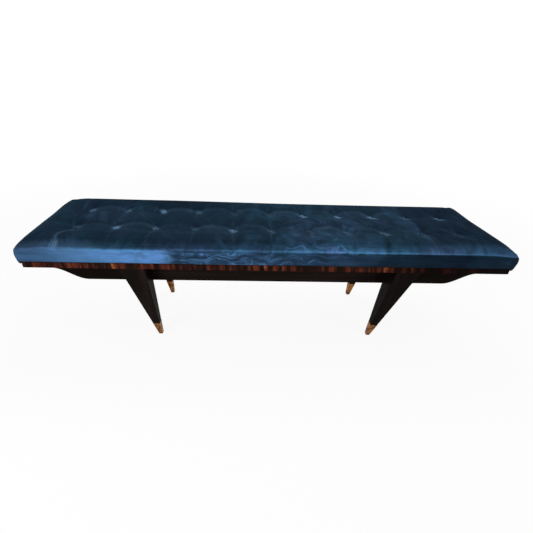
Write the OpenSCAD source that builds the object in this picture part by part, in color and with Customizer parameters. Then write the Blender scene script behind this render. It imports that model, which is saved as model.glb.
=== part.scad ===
// Long upholstered bench: a tufted cushion on a veneered seat frame, ogee-ended aprons and four
// wedge-shaped legs in brass shoes. The origin is on the floor under the centre of the seat.
// X runs along the seat, Y from front (-) to back (+) and Z up. All sizes are in millimetres.

/* [Seat] */
// Length of the seat at its top seam
seat_l = 1830; // [1630:10:2130]
// Depth of the seat at its top seam
seat_d = 492; // [480:2:540]
// Height of the underside of the seat frame above the floor
frame_h = 364; // [330:2:420]

/* [Cushion] */
// Corner radius of the cushion in plan
cushion_r = 18; // [14:1:28]
// Draw-in of the border at its lower edge, front and back
draw_side = 7; // [2:1:10]
// Draw-in of the border at its lower edge, at both ends
draw_end = 4; // [2:1:8]
// Distance from the seam down to the fullest line of the border
belly_drop = 24; // [16:1:32]
// Thickness of the cloth with its lining
cover_t = 1.6; // [1:0.2:3]
// Width of the cloth that is turned under the seat board
turn_under_w = 35; // [25:1:42]
// Thickness of the wadding between the border and the foam
border_pad = 5; // [3:1:10]
// Width over which the top panel rounds up from the seam
edge_w = 40; // [34:1:50]
// Thickness of the seat board
seat_board_t = 12; // [9:1:18]
// Thickness of the base foam
foam_t = 44; // [30:1:60]
// Thickness of the foam topper
topper_t = 8; // [5:1:14]
// Distance from the seam to the edge of the topper
topper_inset = 24; // [20:1:34]

/* [Tufting] */
// Number of tufts along the seat
tuft_cols = 11; // [9:2:13]
// Distance from the end seam to the first tuft
tuft_end_margin = 159; // [145:1:180]
// Distance from the front or back seam to its row of tufts
tuft_side_margin = 158; // [150:1:180]
// Depth of a tuft below the crown
tuft_depth = 14; // [9:1:20]
// Depth of the folds that bow from one tuft of a row to the next
bow_fold_depth = 5; // [2:1:8]
// Distance by which these folds bow backwards
bow = 44; // [20:1:56]
// Depth of the folds that run from front to back through the tufts
cross_fold_depth = 3; // [1:1:6]
// Width of one side of a fold at a tuft
fold_w = 20; // [14:1:24]
// Diameter of a covered button
button_d = 18; // [14:1:22]
// Height of a covered button
button_h = 5; // [4:0.5:8]
// Diameter of the twine that holds a button
twine_d = 2; // [1.5:0.1:3]
// Diameter of the disc that anchors a twine under the seat board
anchor_d = 20; // [16:1:24]
// Thickness of an anchor disc
anchor_t = 1.8; // [1:0.2:2]

/* [Seat frame] */
// Thickness of the seat frame
frame_t = 21; // [20:1:28]
// Thickness of the crossbanded lipping round the frame
band_t = 3; // [2:0.5:6]
// Overhang of the cushion past the lipping, front and back
side_overhang = 3; // [0:1:6]
// Overhang of the cushion past the lipping, at both ends
end_overhang = 9; // [4:1:12]
// Width of the long frame rails
rail_w = 120; // [112:1:124]
// Width of the frame's end rails
end_rail_w = 95; // [80:1:98]
// Width of the slats between the long rails
slat_w = 80; // [60:1:90]
// Distance from the centre to an inner slat, before it moves midway between two columns of tufts
slat_inner_x = 230; // [180:5:280]
// Distance from the centre to an outer slat, before it moves midway between two columns of tufts
slat_outer_x = 537; // [480:1:600]
// Thickness of the tenons in the seat frame
frame_tenon_t = 8; // [6:1:10]
// Length of the tenons in the seat frame
frame_tenon_l = 15; // [10:1:18]
// Shoulder at each edge of a tenon
tenon_shoulder = 10; // [6:1:14]

/* [Aprons] */
// Setback of the apron's face behind the lipping
apron_inset = 86; // [76:1:90]
// Thickness of the aprons
apron_t = 22; // [20:1:28]
// Height of the aprons between the curves
apron_h = 100; // [84:1:120]
// Height of the aprons at their ends
apron_end_h = 50; // [44:1:64]
// Setback of the end aprons behind the lipping
end_apron_inset = 27; // [15:1:60]
// Thickness of the end aprons
end_apron_t = 22; // [18:1:28]
// Length of an ogee curve
curve_l = 138; // [90:2:160]
// Straight length between a curve and the outer face of the end apron
curve_end_l = 21; // [20:1:60]
// Distance from the centre to the middle plane of an outer cross rail
cross_rail_x = 422; // [380:1:435]
// Thickness of the cross rails
cross_rail_t = 22; // [18:1:28]
// Height of the cross rails
cross_rail_h = 60; // [50:1:80]
// Length of the cross rails' tenons
cross_tenon_l = 12; // [8:1:15]
// Thickness of the cross rails' tenons
cross_tenon_t = 10; // [6:1:12]
// Side of a glue block
block_s = 14; // [10:1:18]
// Length of a glue block
block_l = 70; // [40:1:80]

/* [Legs] */
// Distance from the centre to the inner face of a leg at its top
leg_x = 471; // [465:1:510]
// Width of a leg at its top, along the bench
leg_top_w = 91; // [76:1:100]
// Setback of a leg's front face behind the lipping at its top
leg_setback = 1; // [0:0.5:6]
// Width of a leg at the floor
leg_foot_w = 15; // [15:1:30]
// Depth of a leg at the floor
leg_foot_d = 18; // [17:1:30]
// Inward lean of a leg's inner face over its height
leg_lean = 23; // [0:1:40]
// Radius of a leg's arrises
leg_arris_r = 2; // [1:0.5:4]

/* [Shoes] */
// Height of the top of a brass shoe above the floor
shoe_h = 67; // [40:1:80]
// Wall thickness of a shoe
shoe_wall = 1.6; // [1:0.1:2.5]
// Height by which a shoe stands proud of the wood
shoe_proud = 0.6; // [0:0.1:1]
// Thickness of a shoe's floor
shoe_floor = 4; // [3:0.5:8]
// Diameter of a glide
glide_d = 12; // [8:1:14]
// Thickness of a glide
glide_t = 2.5; // [2:0.1:3.5]
// Height by which a glide stands out of its shoe
glide_proud = 1; // [0.5:0.1:1.5]

/* [Fasteners] */
// Diameter of a leg bolt
bolt_d = 8; // [6:1:8]
// Length of a leg bolt under its head
bolt_l = 44; // [40:1:48]
// Width across the corners of a bolt head
bolt_head_d = 15; // [12:0.5:17]
// Height of a bolt head
bolt_head_h = 5.3; // [4:0.1:7]
// Distance from the frame down to the upper bolt of a leg
bolt_drop = 26; // [24:1:30]
// Distance between the two bolts of a leg
bolt_gap = 42; // [30:1:44]
// Diameter of a bolt washer
washer_d = 24; // [18:1:26]
// Thickness of a bolt washer
washer_t = 2; // [1:0.2:3]
// Outside diameter of a threaded insert
insert_d = 12; // [11:0.5:14]
// Length of a threaded insert
insert_l = 25; // [20:1:30]
// Diameter of a leg dowel
dowel_d = 10; // [8:1:12]
// Distance between the two dowels of a leg
dowel_gap = 44; // [30:1:56]
// Depth of a dowel in the leg
dowel_in_leg = 20; // [14:1:30]
// Depth of a dowel in the seat frame
dowel_in_frame = 14; // [10:1:16]
// Diameter of a peg between apron and end apron
peg_d = 8; // [6:1:10]
// Distance between the two pegs in an end of an apron
peg_gap = 22; // [16:1:24]
// Length of a peg
peg_l = 36; // [30:1:44]
// Depth of a peg in the end apron
peg_in_end = 12; // [10:1:14]
// Diameter of a wood screw
screw_d = 4.5; // [4:0.1:5]
// Diameter of a screw head
screw_head_d = 9; // [8:0.1:10]
// Length of a screw that holds the seat board
seat_screw_l = 28; // [25:1:30]
// Distance between the screws that hold the seat board
seat_screw_pitch = 375; // [340:5:380]
// Length of a screw that holds an apron
apron_screw_l = 50; // [40:1:60]
// Distance from the centre to an apron's first screw, before it moves under a column of tufts
apron_screw_inner = 150; // [120:10:200]
// Distance from the centre to an apron's second screw, before it moves under a column of tufts
apron_screw_middle = 310; // [270:10:350]
// Distance from the end apron's outer face to an apron's last screw
apron_screw_end = 110; // [100:1:140]

/* [Clearances] */
// Gap between soft pieces and what they touch
soft_gap = 0.3; // [0.2:0.05:0.5]
// Gap round pegs, bolts, screws, tenons and inserts
fit_gap = 0.1; // [0.05:0.05:0.25]

/* [Hidden] */

$fn = 48;
thin = 0.01;
over = 1;
both = [-1, 1];

// Heights
deck_z = frame_h + frame_t;
cover_z = deck_z + soft_gap;
board_z = cover_z + cover_t + soft_gap;
foam_z = board_z + seat_board_t;
topper_z = foam_z + foam_t;
seam_z = topper_z + soft_gap + cover_t;
topper_top_z = topper_z + topper_t;
tuft_z = topper_top_z + soft_gap + cover_t;
crown_z = tuft_z + tuft_depth;

// Plan half sizes, measured from the centre
seam_x = seat_l / 2;
seam_y = seat_d / 2;
hem_x = seam_x - draw_end;
hem_y = seam_y - draw_side;
foam_x = hem_x - border_pad - soft_gap;
foam_y = hem_y - border_pad - soft_gap;
foam_r = cushion_r - border_pad - soft_gap;
band_x = hem_x - end_overhang;
band_y = hem_y - side_overhang;
rail_x = band_x - band_t;
rail_y = band_y - band_t;
opening_x = rail_x - end_rail_w;
opening_y = rail_y - rail_w;

// Tuft layout: an even grid between the margins, in two rows
tuft_pitch = (seat_l - 2 * tuft_end_margin) / (tuft_cols - 1);
tuft_row_y = seam_y - tuft_side_margin;
tuft_x = [for (i = [0:tuft_cols - 1]) (i - (tuft_cols - 1) / 2) * tuft_pitch];
tuft_y = [-tuft_row_y, tuft_row_y];
tuft_last_x = tuft_x[tuft_cols - 1];

// Slats lie midway between two columns of tufts, clear of the anchor discs
function mid_bay(x) = (floor(x / tuft_pitch) + 0.5) * tuft_pitch;
function tuft_column(x) = round(x / tuft_pitch) * tuft_pitch;

// Aprons
apron_y = band_y - apron_inset;
apron_back_y = apron_y - apron_t;
end_apron_x = band_x - end_apron_inset;
apron_l = end_apron_x - end_apron_t;
curve_end_x = end_apron_x - curve_end_l;
curve_start_x = curve_end_x - curve_l;
curve_steps = 24;
block_x = [cross_rail_x / 2, (leg_x + leg_top_w + curve_start_x) / 2];
apron_screw_x = [
  tuft_column(apron_screw_inner), tuft_column(apron_screw_middle), end_apron_x - apron_screw_end
];
apron_mid_y = apron_y - apron_t / 2;

// Legs: every section is a rectangle between these planes at height z
leg_top_d = apron_inset - leg_setback;
foot_x = leg_x - leg_lean;
function leg_in(z) = foot_x + leg_lean * z / frame_h;
function leg_out(z) = foot_x + leg_foot_w + (leg_lean + leg_top_w - leg_foot_w) * z / frame_h;
function leg_face(z) = apron_y + leg_foot_d + (leg_top_d - leg_foot_d) * z / frame_h;
function leg_mid(z) = (leg_in(z) + leg_out(z)) / 2;
bolt_z = [frame_h - bolt_drop, frame_h - bolt_drop - bolt_gap];
dowel_x = [for (s = both) leg_mid(frame_h) + s * dowel_gap / 2];
dowel_y = apron_y + leg_top_d / 2;
shoe_cut = shoe_wall - shoe_proud;
shoe_inside_z = glide_proud + shoe_floor;
peg_z = [for (s = both) frame_h - (apron_end_h + s * peg_gap) / 2];
glide_x = leg_mid(0);
glide_y = apron_y + leg_foot_d / 2;

velvet = [0.07, 0.20, 0.31];
macassar = [0.34, 0.17, 0.09];
ebonised = [0.11, 0.07, 0.06];
brass = [0.80, 0.60, 0.30];
steel = [0.66, 0.67, 0.69];
hardwood = [0.30, 0.20, 0.14];
plywood = [0.78, 0.62, 0.42];

// Placement: a piece drawn at the right back corner goes to the other corners by reflection
module at(sx, sy) {
  mirror([sx < 0 ? 1 : 0, 0, 0]) mirror([0, sy < 0 ? 1 : 0, 0]) children();
}

module at_all_legs() {
  for (sx = both, sy = both) at(sx, sy) children();
}

// A box between two opposite corners
module box(low, high) {
  translate(low) cube(high - low);
}

module rod_x(from, l, d) {
  translate(from) rotate([0, 90, 0]) cylinder(h = l, d = d);
}

module rod_y(from, l, d) {
  translate(from) rotate([-90, 0, 0]) cylinder(h = l, d = d);
}

// Rounded rectangle with half sizes x and y
module round_plate(x, y, r, z, h) {
  translate([0, 0, z]) linear_extrude(h) {
    square([2 * x, 2 * (y - r)], center = true);
    square([2 * (x - r), 2 * y], center = true);
    for (sx = both, sy = both) translate([sx * (x - r), sy * (y - r)]) circle(r);
  }
}

// Countersunk wood screw that points up from z = 0
module screw(l, gap = 0) {
  cylinder(h = l, d = screw_d + 2 * gap);
  cylinder(h = (screw_head_d - screw_d) / 2, d1 = screw_head_d + 2 * gap, d2 = screw_d + 2 * gap);
}

// Cushion form. The top panel is a grid of stations that crowd round each tuft, where the cloth
// is pulled down flat under a button. From there a fold runs to the front and the back, and one
// bows backwards to the next tuft of the row: the lower bow_roundness is, the fuller the bow, and
// halfway the fold is narrower by fold_pinch. Past a row's last tuft it dies out over fold_fade.
button_flat = button_d / 2 + over;
fold_fade = 60;
fold_pinch = 0.6;
bow_roundness = 0.8;
edge_step = edge_w * 0.35;
belly_in = 0.5;
fold_edge = button_flat + fold_w;
function tuft_stations(at, last) = [
  for (i = [0:last], d = [-fold_edge, -button_flat, button_flat, fold_edge, tuft_pitch / 2])
    if (d < tuft_pitch / 2 || i < last) at[i] + d
];
x_stations = concat(
  [-seam_x, -seam_x + edge_step, -seam_x + edge_w],
  tuft_stations(tuft_x, tuft_cols - 1),
  [seam_x - edge_w, seam_x - edge_step, seam_x]
);
y_half = [tuft_row_y - fold_edge, tuft_row_y - button_flat, tuft_row_y + button_flat,
  tuft_row_y + fold_edge, seam_y - edge_w, seam_y - edge_step, seam_y];
y_last = len(y_half) - 1;
y_stations = concat([for (i = [0:y_last]) -y_half[y_last - i]], y_half);
nx = len(x_stations);
ny = len(y_stations);

function rise(d) = 1 - pow(1 - min(1, d / edge_w), 2);
function off_seat(p, at) = max(0, min([for (c = at) abs(p - c)]) - button_flat);
function fold(d) = exp(-pow(d / (fold_w / 2), 2));
function fade(x) = max(0, 1 - max(0, abs(x) - tuft_last_x) / fold_fade);
function pull(x, y) =
  let (a = fold(off_seat(x, tuft_x)), b = fold(off_seat(y, tuft_y)))
  bow_fold_depth * b * fade(x) * (1 - a) + cross_fold_depth * a * (1 - b) + tuft_depth * a * b;

// Share of the way from a tuft to the middle of its bay
function bay_share(x) = abs(x) > tuft_last_x ? 0
  : min(1, off_seat(x, tuft_x) / (tuft_pitch / 2 - button_flat));

// Moves a point near a row backwards, so that the row's stations follow its bowed folds
function bowed(x, y) =
  let (row = y < 0 ? tuft_y[0] : tuft_y[1], share = bay_share(x))
  abs(y - row) > fold_edge + over ? y
    : row + bow * pow(share * (2 - share), bow_roundness) + (y - row) * (1 - fold_pinch * share);

function top_point(x, y) =
  let (back = bowed(x, y), at = corner(x, back, seam_x, seam_y),
    round = rise(seam_x - abs(x)) * rise(seam_y - abs(back)))
  [at[0], at[1], seam_z + round * (crown_z - seam_z - pull(x, y))];

// Moves a point of a square corner onto the rounded corner of half sizes hx and hy
function corner(x, y, hx, hy) =
  let (u = (abs(x) - hx) / cushion_r + 1, v = (abs(y) - hy) / cushion_r + 1,
    k = u > 0 && v > 0 ? max(u, v) / norm([u, v]) : 1)
  [sign(x) * (u > 0 && v > 0 ? hx - cushion_r + u * k * cushion_r : abs(x)),
    sign(y) * (u > 0 && v > 0 ? hy - cushion_r + v * k * cushion_r : abs(y))];
function rim(hx, hy, z) = [
  for (p = rim_xy) let (c = corner(p[0] * hx / seam_x, p[1] * hy / seam_y, hx, hy)) [c[0], c[1], z]
];
rim_ij = concat(
  [for (i = [0:nx - 2]) [i, 0]], [for (j = [0:ny - 2]) [nx - 1, j]],
  [for (i = [nx - 1:-1:1]) [i, ny - 1]], [for (j = [ny - 1:-1:1]) [0, j]]
);
rim_xy = [for (k = rim_ij) [x_stations[k[0]], y_stations[k[1]]]];
nr = len(rim_ij);

module cushion_form() {
  top = [for (x = x_stations, y = y_stations) top_point(x, y)];
  belly_rim = rim(seam_x - belly_in, seam_y - belly_in, seam_z - belly_drop);
  points = concat(top, belly_rim, rim(hem_x, hem_y, cover_z));
  belly = nx * ny;
  hem = belly + nr;
  top_faces = [for (i = [0:nx - 2], j = [0:ny - 2], half = [0, 1])
    let (a = i * ny + j, b = a + ny)
    half == 0 ? [a, a + 1, b + 1] : [a, b + 1, b]];
  wall_faces = [for (k = [0:nr - 1], row = [0:3])
    let (n = (k + 1) % nr, a = rim_ij[k][0] * ny + rim_ij[k][1], b = rim_ij[n][0] * ny + rim_ij[n][1])
    row == 0 ? [a, b, belly + k] : row == 1 ? [b, belly + n, belly + k]
      : row == 2 ? [belly + k, belly + n, hem + k] : [belly + n, hem + n, hem + k]];
  under = [for (k = [0:nr - 1]) hem + k];
  polyhedron(points, concat(top_faces, wall_faces, [under]), convexity = 6);
}

// Velvet cover with its wadding, pulled over the foam and turned under the seat board
module cushion_cover() {
  pad = border_pad;
  color(velvet) difference() {
    cushion_form();
    round_plate(hem_x - pad, hem_y - pad, cushion_r - pad, cover_z + cover_t,
      topper_z + soft_gap - cover_z - cover_t);
    round_plate(seam_x - topper_inset + soft_gap, seam_y - topper_inset + soft_gap, soft_gap + over,
      foam_z, topper_top_z + soft_gap - foam_z);
    round_plate(hem_x - turn_under_w, hem_y - turn_under_w, over, cover_z - over, cover_t + 2 * over);
  }
}

module at_tufts() {
  for (x = tuft_x, y = tuft_y) translate([x, y, 0]) children();
}

module twine_holes(z, h) {
  at_tufts() translate([0, 0, z - over]) cylinder(h = h + 2 * over, d = twine_d + 2 * soft_gap);
}

module foam_topper() {
  color("khaki") difference() {
    round_plate(seam_x - topper_inset, seam_y - topper_inset, over, topper_z, topper_t);
    twine_holes(topper_z, topper_t);
  }
}

module foam_base() {
  color("palegoldenrod") difference() {
    round_plate(foam_x, foam_y, foam_r, foam_z, foam_t);
    twine_holes(foam_z, foam_t);
  }
}

module seat_board() {
  color(plywood) difference() {
    round_plate(foam_x, foam_y, foam_r, board_z, seat_board_t);
    twine_holes(board_z, seat_board_t);
    at_seat_screws() screw(seat_screw_l, fit_gap);
  }
}

module tuft_buttons() {
  dome_r = (pow(button_d / 2, 2) + pow(button_h / 2, 2)) / button_h;
  color(velvet) at_tufts() translate([0, 0, tuft_z + soft_gap]) {
    cylinder(h = button_h / 2, d = button_d);
    intersection() {
      translate([0, 0, button_h - dome_r]) sphere(dome_r);
      cylinder(h = button_h, d = button_d);
    }
  }
}

module tuft_twines() {
  low = board_z - anchor_t;
  color("ivory") at_tufts() translate([0, 0, low]) cylinder(h = topper_top_z - low, d = twine_d);
}

module twine_anchors() {
  color(steel) at_tufts() translate([0, 0, board_z - anchor_t]) difference() {
    cylinder(h = anchor_t, d = anchor_d);
    translate([0, 0, -over]) cylinder(h = anchor_t + 2 * over, d = twine_d + 2 * fit_gap);
  }
}

// Seat frame: two long rails, two end rails and four slats, joined by stub tenons
slat_x = [-mid_bay(slat_outer_x), -mid_bay(slat_inner_x), mid_bay(slat_inner_x), mid_bay(slat_outer_x)];
tenon_z = frame_h + (frame_t - frame_tenon_t) / 2;

module crosswise(x0, x1, grow = 0) {
  box([x0 + tenon_shoulder - grow, -opening_y - frame_tenon_l - grow, tenon_z - grow],
    [x1 - tenon_shoulder + grow, opening_y + frame_tenon_l + grow, tenon_z + frame_tenon_t + grow]);
}

module crosswise_board(x0, x1) {
  box([x0, -opening_y, frame_h], [x1, opening_y, deck_z]);
  crosswise(x0, x1);
}

module at_seat_screws() {
  rail_mid_y = opening_y + rail_w / 2;
  for (i = [-2:2], s = both) translate([i * seat_screw_pitch, s * rail_mid_y, frame_h]) children();
}

module at_apron_screws() {
  for (x = apron_screw_x, sx = both, sy = both)
    translate([sx * x, sy * apron_mid_y, deck_z]) rotate([180, 0, 0]) children();
}

module frame_rail(side) {
  color(hardwood) difference() {
    at(1, side) box([-rail_x, opening_y, frame_h], [rail_x, rail_y, deck_z]);
    for (x = slat_x) crosswise(x - slat_w / 2, x + slat_w / 2, fit_gap);
    crosswise(opening_x, rail_x, fit_gap);
    crosswise(-rail_x, -opening_x, fit_gap);
    at_all_legs() for (x = dowel_x) translate([x, dowel_y, frame_h - over])
      cylinder(h = dowel_in_frame + fit_gap + over, d = dowel_d + 2 * fit_gap);
    at_seat_screws() screw(seat_screw_l, fit_gap);
    at_apron_screws() screw(apron_screw_l, fit_gap);
  }
}

module frame_front_rail() { frame_rail(-1); }
module frame_back_rail() { frame_rail(1); }

module frame_end_rail() { color(hardwood) crosswise_board(opening_x, rail_x); }
module frame_left_rail() { at(-1, 1) frame_end_rail(); }
module frame_right_rail() { frame_end_rail(); }

module frame_slat(i) {
  color(hardwood) crosswise_board(slat_x[i] - slat_w / 2, slat_x[i] + slat_w / 2);
}

module frame_slat_1() { frame_slat(0); }
module frame_slat_2() { frame_slat(1); }
module frame_slat_3() { frame_slat(2); }
module frame_slat_4() { frame_slat(3); }

// Crossbanded lipping, mitred at the corners
module band_side() {
  color(macassar) translate([0, 0, frame_h]) linear_extrude(frame_t)
    polygon([[-rail_x, rail_y], [rail_x, rail_y], [band_x, band_y], [-band_x, band_y]]);
}

module band_end() {
  color(macassar) translate([0, 0, frame_h]) linear_extrude(frame_t)
    polygon([[rail_x, -rail_y], [band_x, -band_y], [band_x, band_y], [rail_x, rail_y]]);
}

module band_front() { at(1, -1) band_side(); }
module band_back() { band_side(); }
module band_left() { at(-1, 1) band_end(); }
module band_right() { band_end(); }

// Aprons: the lower edge steps up towards each end in an ogee
function ogee(s) = [curve_start_x + s * curve_l,
  frame_h - apron_h + (apron_h - apron_end_h) * (1 - cos(180 * s)) / 2];
half_edge = [for (i = [0:curve_steps]) ogee(i / curve_steps)];
apron_profile = concat(
  [[-apron_l, frame_h], [-apron_l, frame_h - apron_end_h]],
  [for (i = [curve_steps:-1:0]) if (half_edge[i][0] < apron_l) [-half_edge[i][0], half_edge[i][1]]],
  [for (p = half_edge) if (p[0] < apron_l) p],
  [[apron_l, frame_h - apron_end_h], [apron_l, frame_h]]
);
cross_x = [-cross_rail_x, 0, cross_rail_x];

module cross_tenon(x, grow = 0) {
  t = cross_tenon_t / 2 + grow;
  box([x - t, -apron_back_y - cross_tenon_l - grow, frame_h - cross_rail_h + tenon_shoulder - grow],
    [x + t, apron_back_y + cross_tenon_l + grow, frame_h - tenon_shoulder + grow]);
}

module leg_bolt_holes(d, from, l) {
  at_all_legs() for (z = bolt_z) rod_y([leg_mid(z), from, z], l, d);
}

module at_pegs() {
  at_all_legs() for (z = peg_z) translate([apron_l + peg_in_end, apron_mid_y, z]) children();
}

module long_apron(side) {
  color(ebonised) difference() {
    at(1, side) translate([0, apron_y, 0]) rotate([90, 0, 0])
      linear_extrude(apron_t) polygon(apron_profile);
    for (x = cross_x) cross_tenon(x, fit_gap);
    leg_bolt_holes(bolt_d + 2 * fit_gap, apron_back_y - over, apron_t + 2 * over);
    at_pegs() rod_x([-peg_l - fit_gap, 0, 0], peg_l + over, peg_d + 2 * fit_gap);
    at_apron_screws() screw(apron_screw_l + fit_gap, fit_gap);
  }
}

module apron_front() { long_apron(-1); }
module apron_back() { long_apron(1); }

module end_apron() {
  color(ebonised) difference() {
    box([apron_l, -apron_y, frame_h - apron_end_h], [end_apron_x, apron_y, frame_h]);
    at_pegs() rod_x([-peg_l, 0, 0], peg_l + fit_gap, peg_d + 2 * fit_gap);
  }
}

module apron_left() { at(-1, 1) end_apron(); }
module apron_right() { end_apron(); }

module cross_rail(x) {
  t = cross_rail_t / 2;
  color(hardwood) {
    box([x - t, -apron_back_y, frame_h - cross_rail_h], [x + t, apron_back_y, frame_h]);
    cross_tenon(x);
  }
}

module cross_rail_left() { cross_rail(-cross_rail_x); }
module cross_rail_middle() { cross_rail(0); }
module cross_rail_right() { cross_rail(cross_rail_x); }

module glue_blocks() {
  s = block_s;
  toe = s / 3;
  color(hardwood) for (x = block_x, sx = both, sy = both)
    at(sx, sy) translate([x - block_l / 2, apron_back_y, frame_h]) rotate([90, 0, 90])
      linear_extrude(block_l) polygon([[0, 0], [-s, 0], [-s, -toe], [-toe, -s], [0, -s]]);
}

// Part of the tapered leg between two heights, grown or cut back all round
module leg_form(z0, z1, grow = 0) {
  r = leg_arris_r;
  hull() for (z = [z0, z1]) for (x = [leg_in(z) - grow + r, leg_out(z) + grow - r],
    y = [apron_y - grow + r, leg_face(z) + grow - r])
    translate([x, y, z == z0 ? z : z - thin]) cylinder(h = thin, r = r, $fn = 20);
}

module leg() {
  color(ebonised) difference() {
    union() {
      leg_form(shoe_h + fit_gap, frame_h);
      leg_form(shoe_inside_z + fit_gap, shoe_h + over, -shoe_cut - fit_gap);
    }
    for (x = dowel_x) translate([x, dowel_y, frame_h - dowel_in_leg - fit_gap])
      cylinder(h = dowel_in_leg + fit_gap + over, d = dowel_d + 2 * fit_gap);
    for (z = bolt_z)
      rod_y([leg_mid(z), apron_y - over, z], insert_l + fit_gap + over, insert_d + 2 * fit_gap);
  }
}

module leg_front_left() { at(-1, -1) leg(); }
module leg_front_right() { at(1, -1) leg(); }
module leg_back_left() { at(-1, 1) leg(); }
module leg_back_right() { leg(); }

// Brass shoe: a tapered cup that the end of the leg fits into
module shoe() {
  color(brass) difference() {
    leg_form(glide_proud, shoe_h, shoe_proud);
    leg_form(shoe_inside_z, shoe_h + over, -shoe_cut);
    translate([glide_x, glide_y, 0]) cylinder(h = glide_t + fit_gap, d = glide_d + 2 * fit_gap);
  }
}

module shoe_front_left() { at(-1, -1) shoe(); }
module shoe_front_right() { at(1, -1) shoe(); }
module shoe_back_left() { at(-1, 1) shoe(); }
module shoe_back_right() { shoe(); }

module glide() {
  color("dimgray") translate([glide_x, glide_y, 0]) cylinder(h = glide_t, d = glide_d);
}

module glide_front_left() { at(-1, -1) glide(); }
module glide_front_right() { at(1, -1) glide(); }
module glide_back_left() { at(-1, 1) glide(); }
module glide_back_right() { glide(); }

// Fasteners
module leg_bolts() {
  head_y = apron_back_y - washer_t;
  color(steel) at_all_legs() for (z = bolt_z) {
    rod_y([leg_mid(z), head_y, z], bolt_l, bolt_d);
    translate([leg_mid(z), head_y, z]) rotate([90, 0, 0])
      cylinder(h = bolt_head_h, d = bolt_head_d, $fn = 6);
  }
}

module bolt_washers() {
  color(steel) at_all_legs() for (z = bolt_z) difference() {
    rod_y([leg_mid(z), apron_back_y - washer_t, z], washer_t, washer_d);
    rod_y([leg_mid(z), apron_back_y - washer_t - over, z], washer_t + 2 * over, bolt_d + 2 * fit_gap);
  }
}

module threaded_inserts() {
  color(brass) at_all_legs() for (z = bolt_z) difference() {
    rod_y([leg_mid(z), apron_y, z], insert_l, insert_d);
    rod_y([leg_mid(z), apron_y - over, z], insert_l + 2 * over, bolt_d + 2 * fit_gap);
  }
}

module leg_dowels() {
  color("burlywood") at_all_legs() for (x = dowel_x) translate([x, dowel_y, frame_h - dowel_in_leg])
    cylinder(h = dowel_in_leg + dowel_in_frame, d = dowel_d);
}

module apron_pegs() {
  color("burlywood") at_pegs() rod_x([-peg_l, 0, 0], peg_l, peg_d);
}

module seat_screws() {
  color(steel) at_seat_screws() screw(seat_screw_l);
}

module apron_screws() {
  color(steel) at_apron_screws() screw(apron_screw_l);
}

cushion_cover();
foam_topper();
foam_base();
seat_board();
tuft_buttons();
tuft_twines();
twine_anchors();
frame_front_rail();
frame_back_rail();
frame_left_rail();
frame_right_rail();
frame_slat_1();
frame_slat_2();
frame_slat_3();
frame_slat_4();
band_front();
band_back();
band_left();
band_right();
apron_front();
apron_back();
apron_left();
apron_right();
cross_rail_left();
cross_rail_middle();
cross_rail_right();
glue_blocks();
leg_front_left();
leg_front_right();
leg_back_left();
leg_back_right();
shoe_front_left();
shoe_front_right();
shoe_back_left();
shoe_back_right();
glide_front_left();
glide_front_right();
glide_back_left();
glide_back_right();
leg_bolts();
bolt_washers();
threaded_inserts();
leg_dowels();
apron_pegs();
seat_screws();
apron_screws();
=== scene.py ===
"""Long upholstered bench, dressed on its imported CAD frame.

All sizes are in metres. X runs along the bench, Y from the front to the back and Z up, with the
origin on the floor under the centre of the seat.
"""

import logging
import math
from contextlib import contextmanager
from dataclasses import dataclass
from enum import Enum
from typing import Callable, Iterator

import bmesh
import bpy
import numpy as np
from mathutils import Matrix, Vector


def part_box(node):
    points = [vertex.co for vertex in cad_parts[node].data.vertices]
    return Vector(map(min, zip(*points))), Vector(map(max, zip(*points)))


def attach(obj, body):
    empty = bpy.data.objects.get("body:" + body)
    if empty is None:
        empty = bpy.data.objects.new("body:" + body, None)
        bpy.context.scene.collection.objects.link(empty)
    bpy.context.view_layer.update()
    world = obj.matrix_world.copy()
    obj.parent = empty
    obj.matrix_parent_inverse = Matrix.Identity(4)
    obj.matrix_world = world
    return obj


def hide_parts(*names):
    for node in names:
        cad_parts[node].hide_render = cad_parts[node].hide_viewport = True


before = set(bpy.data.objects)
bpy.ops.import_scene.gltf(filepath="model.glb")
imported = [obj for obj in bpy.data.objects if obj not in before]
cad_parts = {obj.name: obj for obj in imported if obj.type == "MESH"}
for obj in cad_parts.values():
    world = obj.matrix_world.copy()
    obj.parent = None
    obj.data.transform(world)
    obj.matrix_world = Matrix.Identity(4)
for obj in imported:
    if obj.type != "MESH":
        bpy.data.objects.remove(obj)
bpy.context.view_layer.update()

log = logging.getLogger("bench")

Point = tuple[float, float, float]
Colour = tuple[float, float, float]
Stops = tuple[tuple[float, Colour], ...]
Test = Callable[[Vector, Vector], bool]
Socket = bpy.types.NodeSocket
Values = np.ndarray

WHITE = (1, 1, 1, 1)
# From this share of its length on, a normal or an edge's direction counts as lying along an axis.
SQUARE_ON = 0.9
# Within this distance, a corner or an edge counts as lying on a plane.
CLOSE = 1e-4


def lowest(node: str) -> Point:
    """The lowest corner of a CAD node."""
    return tuple(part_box(node)[0])


def highest(node: str) -> Point:
    """The highest corner of a CAD node."""
    return tuple(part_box(node)[1])


class Pick(Enum):
    """What a test picks on a blank: its corners, its edges or its faces."""

    CORNERS = "VERT"
    EDGES = "EDGE"
    FACES = "FACE"


class Corner(Enum):
    """A corner of the bench, as the signs of its X and Y."""

    FRONT_LEFT = (-1, -1)
    FRONT_RIGHT = (1, -1)
    BACK_LEFT = (-1, 1)
    BACK_RIGHT = (1, 1)


class Grain(Enum):
    """Which way wood grain runs, as the stretch of its figure along X, Y and Z."""

    LEVEL = (1.2, 1.2, 34.0)
    UPRIGHT = (40.0, 40.0, 1.6)
    ALONG_X = (1.5, 40.0, 40.0)
    ALONG_Y = (40.0, 1.5, 40.0)


# Materials


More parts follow.
